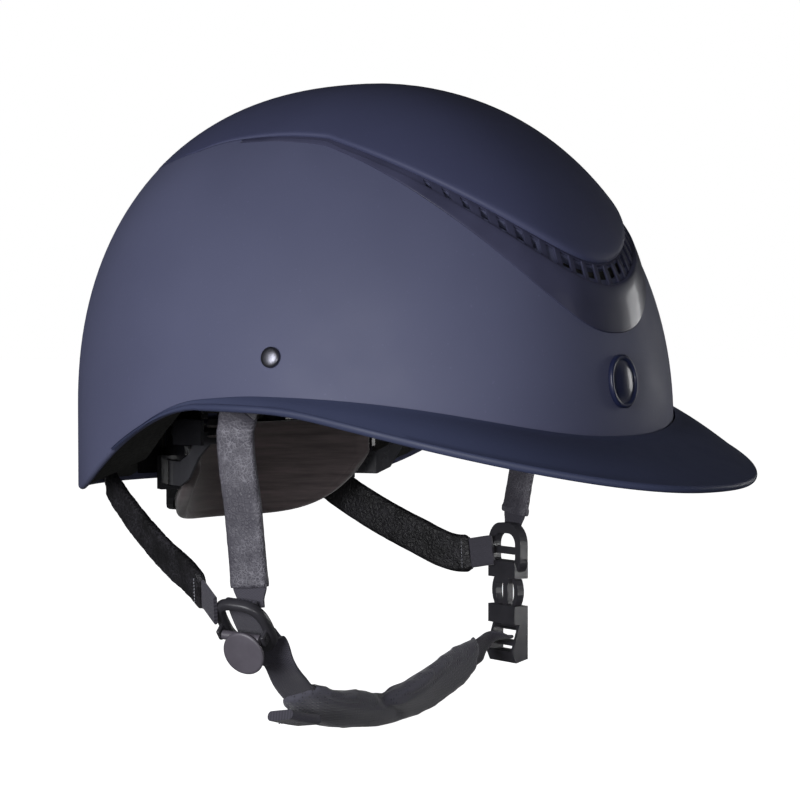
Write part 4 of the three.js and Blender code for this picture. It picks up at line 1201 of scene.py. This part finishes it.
def build_nape_pad():
    steps = 120
    inner, outer = PAD_RADII
    middle, half = (inner + outer) / 2, (outer - inner) / 2
    rings = []
    for i in range(steps + 1):
        t = 2 * i / steps - 1
        turn = t * CRADLE_SPAN
        low, high = nape_low(t), nape_high(t)
        end = smooth((1 - abs(t)) / 0.05)
        thick = half * mix(0.35, 1, end)
        centre, tall = (low + high) / 2, (high - low) / 2 * mix(0.86, 1, end)
        ring = []
        for angle in round_angles(40):
            r = middle + thick * sgn_pow(math.cos(angle), 0.62) + (half - thick) * 0.6
            z = centre + tall * sgn_pow(math.sin(angle), 0.3)
            ring.append(arc_at(r, turn, z))
        rings.append(ring)
    pad = make_object("nape_cushion", *loft(rings), NAPE_CLOTH)
    subdivide(pad, 1)

    def channel(p):
        turn = math.atan2(p.y, CRADLE_X - p.x)
        t = turn / CRADLE_SPAN
        low, high = nape_low(t), nape_high(t)
        edge = min(abs(p.z - low - 3.2), abs(p.z - high + 3.2))
        return 0.45 * math.exp(-((edge / 0.8) ** 2))

    dent(pad, channel)
    return finish_piece(use_material(pad, NAPE_CLOTH), "cradle", "lining", "nape_pad")


# ---- Harness ---------------------------------------------------------------
DIVIDER = {"at": vec(2.6, -86, -181), "wide": 24, "high": 28, "thick": 4.2, "bar": 4.2}
DIVIDER_ACROSS = vec(0.96, 0.27, -0.08).normalized()
DIVIDER_UP = vec(0.245, -0.66, 0.71)
DIVIDER_UP = (DIVIDER_UP - DIVIDER_ACROSS * DIVIDER_UP.dot(DIVIDER_ACROSS)).normalized()
DIVIDER_IN = DIVIDER_UP.cross(DIVIDER_ACROSS)
LEVER = {  # the disc and its barrel, in the divider's own frame
    "disc": (1.7, -9.4, -5.4),
    "open": math.radians(25),
    "barrel": (0, -4.9, -1.5),
    "barrel_half": 8.2,
    "barrel_radius": 1.9,
    "ear_x": 9.7,
}
BUCKLE = {"at": vec(-5.5, 82, -188.5), "ring_up": 25.5}


def on_divider(x, y, z):
    """A point in the divider's own frame: forwards, inwards, up."""
    return DIVIDER["at"] + DIVIDER_ACROSS * x + DIVIDER_IN * y + DIVIDER_UP * z


def width_axis(side):
    return vec(math.cos(TWIST), -side * math.sin(TWIST), 0)


def ring_centre(side):
    return DIVIDER["at"].copy() if side == RIGHT else BUCKLE["at"] + vec(0, 0, BUCKLE["ring_up"])


def front_path(side):
    ring = ring_centre(side)
    at, normal = rivet_place(side)
    clamp = at - normal * 5.6
    edge = vec(2.5 if side == RIGHT else 0, side * 91, -104)
    if side == RIGHT:
        end = on_divider(3.4, 3.4, 7)
    else:
        end = vec(ring.x - 1, ring.y + 4, ring.z + 9)
    slant = edge - clamp
    slant = (slant - normal * slant.dot(normal)).normalized()
    flat = normal.cross(slant)
    hanging = width_axis(side)
    if flat.dot(hanging) < 0:
        flat = -flat
    points = [clamp - slant * 7, clamp, clamp + slant * 14, edge, edge.lerp(end, 0.5), end]
    return Path(points, [flat, flat, hanging, hanging, hanging, hanging])


REAR_ROOT = vec(-109, 60, -121)
REAR_EDGE = vec(-103.6, 61.6, -129)
REAR_SAG = ((0.15, -138.5), (0.35, -148.5), (0.57, -157.5), (0.8, -165))  # share of the way, height


REAR_HEM = 0.9  # share of the rear strap at which its sleeve ends


def rear_path(side):
    ring = ring_centre(side)
    if side == RIGHT:
        end = on_divider(-8.5, -2.9, 10.5)
        across = vec(0, -0.22, 1)
    else:
        end = vec(ring.x - 6, ring.y - 2.9, ring.z)
        across = vec(0, 0, 1)
    edge = vec(REAR_EDGE.x, side * REAR_EDGE.y, REAR_EDGE.z)
    points = [vec(REAR_ROOT.x, side * REAR_ROOT.y, REAR_ROOT.z), edge]
    for share, z in REAR_SAG:
        between = edge.lerp(end, share)
        points.append(vec(between.x, between.y, z))
    return Path([*points, end], across)


def cross_stitches(name, path, t, material, half=6.4, thick=SLEEVE_THICK, sides=(1, -1)):
    """Stitches across a strap, on both of its faces."""
    centre, side, normal, _ = path.frame(t)
    made = []
    for face in sides:
        out = normal * (face * (thick / 2 * 1.22 + 0.12))
        line = [centre + side * mix(-half, half, i / 12) + out for i in range(13)]
        made.append(stitches(f"{name}_{len(made)}", line, [normal * face] * 13, 1.5, 1.15, 0.2, material))
    return made


def build_front_strap(side):
    path = front_path(side)
    word = WORD[side]

    def gather(t, u, v):
        return u * (1 - 0.22 * smooth((t - 0.93) / 0.05)), v

    web = strap(f"front_web_{word}", path, flat_section(WEB_WIDE, WEB_THICK), WEBBING, shape=gather)
    finish_piece(web, "helmet", "webbing", f"front_webbing_{word}")

    def hem(t, u, v):
        ending = smooth((t - 0.895) / 0.01) * 0.35 - smooth((t - 0.925) / 0.005) * 0.3
        start = smooth((0.41 - t) / 0.01)
        return u * (1 - 0.03 * start), v * (1 + ending - 0.2 * start)

    sleeve = strap(f"front_leather_{word}", path, flat_section(SLEEVE_WIDE, SLEEVE_THICK, 0.18, 14, 6),
                   LEATHER, 0.3, 0.93, 0.8, hem, 0.22)
    finish_piece(sleeve, "helmet", "leather", f"front_sleeve_{word}")
    for row, t in enumerate((0.905, 0.92)):
        for seam in cross_stitches(f"front_hem_{word}_{row}", path, t, PALE_THREAD):
            finish_piece(seam, "helmet", "leather")


def build_rear_strap(side):
    path = rear_path(side)
    word = WORD[side]
    web = strap(f"rear_web_{word}", path, flat_section(WEB_WIDE - 2, WEB_THICK), WEBBING)
    finish_piece(web, "helmet", "webbing", f"rear_webbing_{word}")

    def hem(t, u, v):
        ending = smooth((t - REAR_HEM + 0.02) / 0.02)
        return u * (1 - 0.14 * ending), v * (1 - 0.3 * ending)

    sleeve = strap(f"rear_leather_{word}", path, flat_section(SLEEVE_WIDE, SLEEVE_THICK, 0.1, 14, 6),
                   REAR_LEATHER, 0.1, REAR_HEM, 0.8, hem, 0.3)
    finish_piece(sleeve, "helmet", "leather", f"rear_sleeve_{word}")
    for seam in cross_stitches(f"rear_hem_{word}", path, REAR_HEM - 0.03, PALE_THREAD):
        finish_piece(seam, "helmet", "leather")


def build_divider():
    """The divider's thick rounded ring, with ears for the lever's pin."""
    low_x, low_z = DIVIDER["wide"] / 2 - DIVIDER["bar"] / 2, DIVIDER["high"] / 2 - DIVIDER["bar"] / 2
    around, section = 72, 20
    verts = []
    for turn in round_angles(around):
        centre = (low_x * sgn_pow(math.cos(turn), 0.66), low_z * sgn_pow(math.sin(turn), 0.66))
        out = Vector((math.cos(turn), math.sin(turn))).normalized()
        for angle in round_angles(section):
            reach = DIVIDER["bar"] / 2 * sgn_pow(math.cos(angle), 0.7)
            depth = DIVIDER["thick"] / 2 * sgn_pow(math.sin(angle), 0.7)
            verts.append(on_divider(centre[0] + out.x * reach, depth, centre[1] + out.y * reach))
    faces = []
    for i in range(around):
        for k in range(section):
            a, b = i * section, (i + 1) % around * section
            faces.append((a + k, a + (k + 1) % section, b + (k + 1) % section, b + k))
    ring = make_object("divider_ring", verts, faces)
    for x in (-LEVER["ear_x"], LEVER["ear_x"]):
        ear = rounded_box((x - 0.8, -6.1, -4), (x + 0.8, 0, 1), 0.5)
        for v in ear.data.vertices:
            v.co = on_divider(*(v.co / MM)) * MM
        boolean(ring, ear, "UNION")
    use_material(ring, SATIN_PLASTIC)
    shade(ring, math.radians(50))
    finish_piece(ring, "helmet", "buckle_plastic", "divider_frame_right")


def build_lever():
    """The cam lever: a dished round disc, a little open, and its barrel on the pin."""
    profile = [(0, 1), (7.0, 1), (8.1, 0.75), (8.7, 0.3), (8.9, -0.4), (8.6, -0.9), (7.7, -1.1), (0, -0.8)]
    facing = DIVIDER_IN * math.cos(LEVER["open"]) - DIVIDER_UP * math.sin(LEVER["open"])
    disc = lathe(profile, on_divider(*LEVER["disc"]), facing, 64)
    lever = make_object("lever_disc", *disc)
    end, radius = LEVER["barrel_half"], LEVER["barrel_radius"]
    outline = [(0, -end), (radius, -end), (radius, end), (0, end)]
    barrel = lathe(outline, on_divider(*LEVER["barrel"]), DIVIDER_ACROSS, 24)
    boolean(lever, make_object("lever_barrel", *barrel), "UNION")
    use_material(lever, LEVER_PLASTIC)
    shade(lever, math.radians(50))
    finish_piece(lever, "divider_lever", "buckle_plastic", "divider_lever_right")


def build_window_web():
    """Webbing seen through the divider's window."""
    spots = [(0.5, 3, 11.5), (0.5, 2.4, 8.5), (0.5, 1.7, 4), (0.6, 1.3, -1), (0.8, 1, -6)]
    path = Path([on_divider(*spot) for spot in spots], DIVIDER_ACROSS)
    loop = strap("window_web", path, flat_section(13.6, WEB_THICK), WEBBING)
    finish_piece(loop, "helmet", "webbing")


# ---- Chin strap ------------------------------------------------------------
CHIN_NEAR, CHIN_MIDDLE, CHIN_FAR = vec(1, 0, 0.5), vec(0.8, 0, 0.75), vec(0.4, 0, 1)  # strap's width
CHIN_RIGHT = [
    on_divider(2, 4.2, -7), on_divider(3.2, 4.4, -14),
    vec(5.5, -71, -196.5), vec(3.6, -59, -209), vec(2.4, -50, -214),
]
CHIN_PAD = [
    vec(3.6, -58.5, -209.6), vec(2.4, -45, -216), vec(1, -25, -220), vec(0, -5, -221.5),
    vec(-1, 20, -217.5), vec(-2, 42, -211), vec(-3, 57, -205.5),
]
CHIN_LEFT = [vec(-2.5, 50, -208), vec(-3, 58, -205), vec(-4, 69, -201.5), vec(-4.9, 75.4, -200)]
TAIL = [vec(6.5, -55.5, -221), vec(6.2, -62, -219.6), vec(5.4, -70, -217.5)]
TAIL_ACROSS = vec(1, 0, 0.15)


def build_chin_strap():
    section = flat_section(WEB_WIDE, WEB_THICK)
    path = Path(CHIN_RIGHT, [DIVIDER_ACROSS, DIVIDER_ACROSS, CHIN_NEAR, CHIN_NEAR])
    right = strap("chin_web_right", path, section, WEBBING)
    finish_piece(right, "chin_strap", "webbing", "chin_webbing_right")
    left = strap("chin_web_left", Path(CHIN_LEFT, [CHIN_FAR, CHIN_FAR, width_axis(LEFT)]), section, WEBBING)
    finish_piece(left, "chin_strap", "webbing", "chin_webbing_left")
    tail_path = Path(TAIL, TAIL_ACROSS)
    tail = strap("folded_tail", tail_path, flat_section(WEB_WIDE, 4, 0.0, 10, 6), WEBBING)
    finish_piece(tail, "chin_strap", "webbing", "strap_tail")
    for seam in cross_stitches("tail_seam", tail_path, 0.7, THREAD, 6, 3.6):
        finish_piece(seam, "chin_strap", "webbing")


def chin_half_width(t):
    """Half width of the chin pad: narrow ends, a gathered waist and a broad far half."""
    swell = 0.62 + 0.38 * math.sin(math.pi * t) ** 0.6
    waist = 0.24 * math.exp(-(((t - 0.4) / 0.1) ** 2))
    broad = 0.16 * math.exp(-(((t - 0.74) / 0.14) ** 2))
    return 14.5 * swell * (1 - waist + broad)


def build_chin_pad():
    path = Path(CHIN_PAD, [CHIN_NEAR, CHIN_MIDDLE, CHIN_FAR])
    steps = 60
    rings = []
    for i in range(steps + 1):
        t = i / steps
        centre, side, normal, _ = path.frame(t)
        wide = chin_half_width(t)
        thick = 4.4 * (0.62 + 0.34 * math.sin(math.pi * t) ** 0.6)
        ring = []
        for angle in round_angles(32):
            ring.append(centre + side * wide * sgn_pow(math.cos(angle), 0.6)
                        + normal * thick * sgn_pow(math.sin(angle), 0.8))
        rings.append(ring)
    pad = make_object("chin_cushion", *loft(rings), CHIN_MESH)
    settle(pad, 2.6, 3.0, 2.4)
    low_y, high_y = CHIN_PAD[0].y, CHIN_PAD[-1].y

    def folds(p):
        """Seam near both edges, a deep fold across the waist and soft wrinkles beside it."""
        t = clamp01((p.y - low_y) / (high_y - low_y))
        centre, side, _, _ = path.frame(t)
        u = (p - centre).dot(side) / chin_half_width(t)
        seam = 0.5 * math.exp(-(((abs(u) - 0.72) / 0.07) ** 2))
        fold = 1.5 * math.exp(-(((t - 0.52 + 0.14 * u) / 0.028) ** 2)) * smooth((u + 0.5) / 0.5)
        wrinkle = 0.45 * noise.noise(vec(t * 9 + u * 1.5, u * 1.1, 3))
        return seam + fold + wrinkle

    dent(pad, folds)
    return finish_piece(use_material(pad, CHIN_MESH), "chin_strap", "chin_mesh", "chin_pad")


# ---- CAD nodes that keep their shape ---------------------------------------
def dress(node, material, bevel=0.3, segments=2):
    """Gives a CAD node a material, merges its flat facets and rounds its edges."""
    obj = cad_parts[node]
    obj.data.materials.clear()
    obj.data.materials.append(material)
    obj.data.shade_smooth()
    flat = obj.modifiers.new("merge_flats", "DECIMATE")
    flat.decimate_type = "DISSOLVE"
    flat.angle_limit = math.radians(1)
    if bevel:
        add_bevel(obj, bevel, segments)
    even = obj.modifiers.new("even_normals", "WEIGHTED_NORMAL")
    even.keep_sharp = True
    return obj


def dress_hardware():
    for word in WORD.values():
        dress(f"rivet_washer_{word}", STEEL, 0.15)
        dress(f"rear_anchor_{word}", STEEL, 0.3)
        dress(f"cradle_guide_{word}", BLACK_PLASTIC, 0.5)
        dress(f"size_band_{word}", GREY_PLASTIC, 0.15)
        dress(f"band_anchor_{word}", BLACK_PLASTIC, 0.3)
    for node, bevel in (("cradle_frame", 0.5), ("dial_housing", 0.5), ("dial_knob", 0.4)):
        dress(node, BLACK_PLASTIC, bevel, 3)
    for node, bevel in (("dial_pinion", 0.1), ("dial_screw", 0.2), ("divider_pin_right", 0.15)):
        dress(node, STEEL, bevel)
    for node in ("buckle_male", "buckle_female"):
        dress(node, SATIN_PLASTIC, 0.6, 3)
    for node in ("buckle_prong_front", "buckle_prong_rear"):
        dress(node, SATIN_PLASTIC, 0.4)


# ---- Build -----------------------------------------------------------------
build_shell()
build_crown_panel()
build_vent_trim()
build_brim()
build_emblem()
build_liner()
build_crown_pad()
build_headband()
build_nape_pad()
for each_side in (RIGHT, LEFT):
    build_rivet(each_side)
    build_front_strap(each_side)
    build_rear_strap(each_side)
build_divider()
build_lever()
build_window_web()
build_chin_strap()
build_chin_pad()
dress_hardware()


# ---- Stage, light and camera -----------------------------------------------
def pale_floor():
    """A large round floor under the helmet. It looks pale and throws little light back."""
    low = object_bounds()[0].z / MM - 1.5
    count = 96
    reach = 9000
    ring = [vec(reach * math.cos(a), reach * math.sin(a), low) for a in round_angles(count)]
    s = Shader("pale_floor")
    s.set(Base_Color=s.blend(s.noise(3, 2), (0.88, 0.88, 0.88, 1), (0.92, 0.92, 0.92, 1)), Roughness=1.0)
    rays = s.node("LightPath")
    glow = s.node("Emission")
    glow.inputs["Strength"].default_value = 1.0
    dim = s.node("BsdfDiffuse")
    dim.inputs["Color"].default_value = (0.2, 0.2, 0.2, 1)
    seen = s.node("AddShader")
    s.feed(seen.inputs[0], s.bsdf.outputs[0])
    s.feed(seen.inputs[1], glow.outputs[0])
    chosen = s.node("MixShader")
    s.feed(chosen.inputs[0], rays.outputs["Is Camera Ray"])
    s.feed(chosen.inputs[1], dim.outputs[0])
    s.feed(chosen.inputs[2], seen.outputs[0])
    s.feed(s.tree.nodes["Material Output"].inputs["Surface"], chosen.outputs[0])
    faces = [(0, i + 1, (i + 1) % count + 1) for i in range(count)]
    floor = make_object("floor", [vec(0, 0, low), *ring], faces, s.material)
    floor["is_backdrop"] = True


def add_light(name, kind, at, target, power, **settings):
    data = bpy.data.lights.new(name, kind)
    data.energy = power
    for key, value in settings.items():
        setattr(data, key, value)
    light = bpy.data.objects.new(name, data)
    light.location = Vector(at) * MM
    aim = Vector(target) - Vector(at)
    light.rotation_euler = aim.to_track_quat("-Z", "Y").to_euler()
    bpy.context.scene.collection.objects.link(light)


def soft_light(name, at, size, power, target=(0, 0, -60), colour=(1, 1, 1)):
    """A rectangular softbox facing its target."""
    wide, high = size[0] * MM, size[1] * MM
    add_light(name, "AREA", at, target, power, shape="RECTANGLE", size=wide, size_y=high, color=colour)


def narrow_spot(name, at, power, spread, target):
    """A snooted light whose soft-edged cone reaches one small area."""
    add_light(name, "SPOT", at, target, power, spot_size=spread, spot_blend=0.7, shadow_soft_size=0.1)


def studio_world(level, shown):
    """Pale surroundings: camera rays see `shown`, and the helmet is lit by `level`."""
    world = bpy.data.worlds.new("studio")
    bpy.context.scene.world = world
    world.use_nodes = True
    tree = world.node_tree
    tree.nodes.clear()
    rays = tree.nodes.new("ShaderNodeLightPath")
    dim = tree.nodes.new("ShaderNodeBackground")
    pale = tree.nodes.new("ShaderNodeBackground")
    dim.inputs["Color"].default_value = (0.93, 0.95, 1, 1)
    dim.inputs["Strength"].default_value = level
    pale.inputs["Color"].default_value = (1, 1, 1, 1)
    pale.inputs["Strength"].default_value = shown
    chosen = tree.nodes.new("ShaderNodeMixShader")
    out = tree.nodes.new("ShaderNodeOutputWorld")
    tree.links.new(rays.outputs["Is Camera Ray"], chosen.inputs[0])
    tree.links.new(dim.outputs[0], chosen.inputs[1])
    tree.links.new(pale.outputs[0], chosen.inputs[2])
    tree.links.new(chosen.outputs[0], out.inputs["Surface"])


def photo_camera():
    """A long lens at eye level, ahead of the helmet's right side."""
    data = bpy.data.cameras.new("camera")
    data.sensor_width = 36
    data.lens = 126.3
    data.clip_start, data.clip_end = 0.05, 60
    camera = bpy.data.objects.new("camera", data)
    at = vec(772.7, -850.7, -60.0)
    back = vec(0.6694, -0.7422, 0.0312).normalized()
    right = vec(0.7426, 0.6698, 0).normalized()
    up = back.cross(right)
    turn = Matrix((right, up, back)).transposed()
    camera.matrix_world = Matrix.Translation(at * MM) @ turn.to_4x4()
    bpy.context.scene.collection.objects.link(camera)
    bpy.context.scene.camera = camera


pale_floor()
studio_world(0.05, 1.0)
soft_light("key", (200, -1440, 60), (750, 750), 20.5, colour=(0.97, 0.98, 1))
soft_light("front_fill", (1500, 300, 160), (350, 700), 0.4)
soft_light("back_edge", (500, 1500, 60), (500, 500), 4)
soft_light("harness_fill", (900, -800, -190), (400, 90), 2.2, (0, 0, -190))
narrow_spot("buckle_edge", (855, 360, -205), 26, math.radians(7), (-3, 80, -185))
photo_camera()
bpy.context.scene.view_settings.view_transform = "Standard"
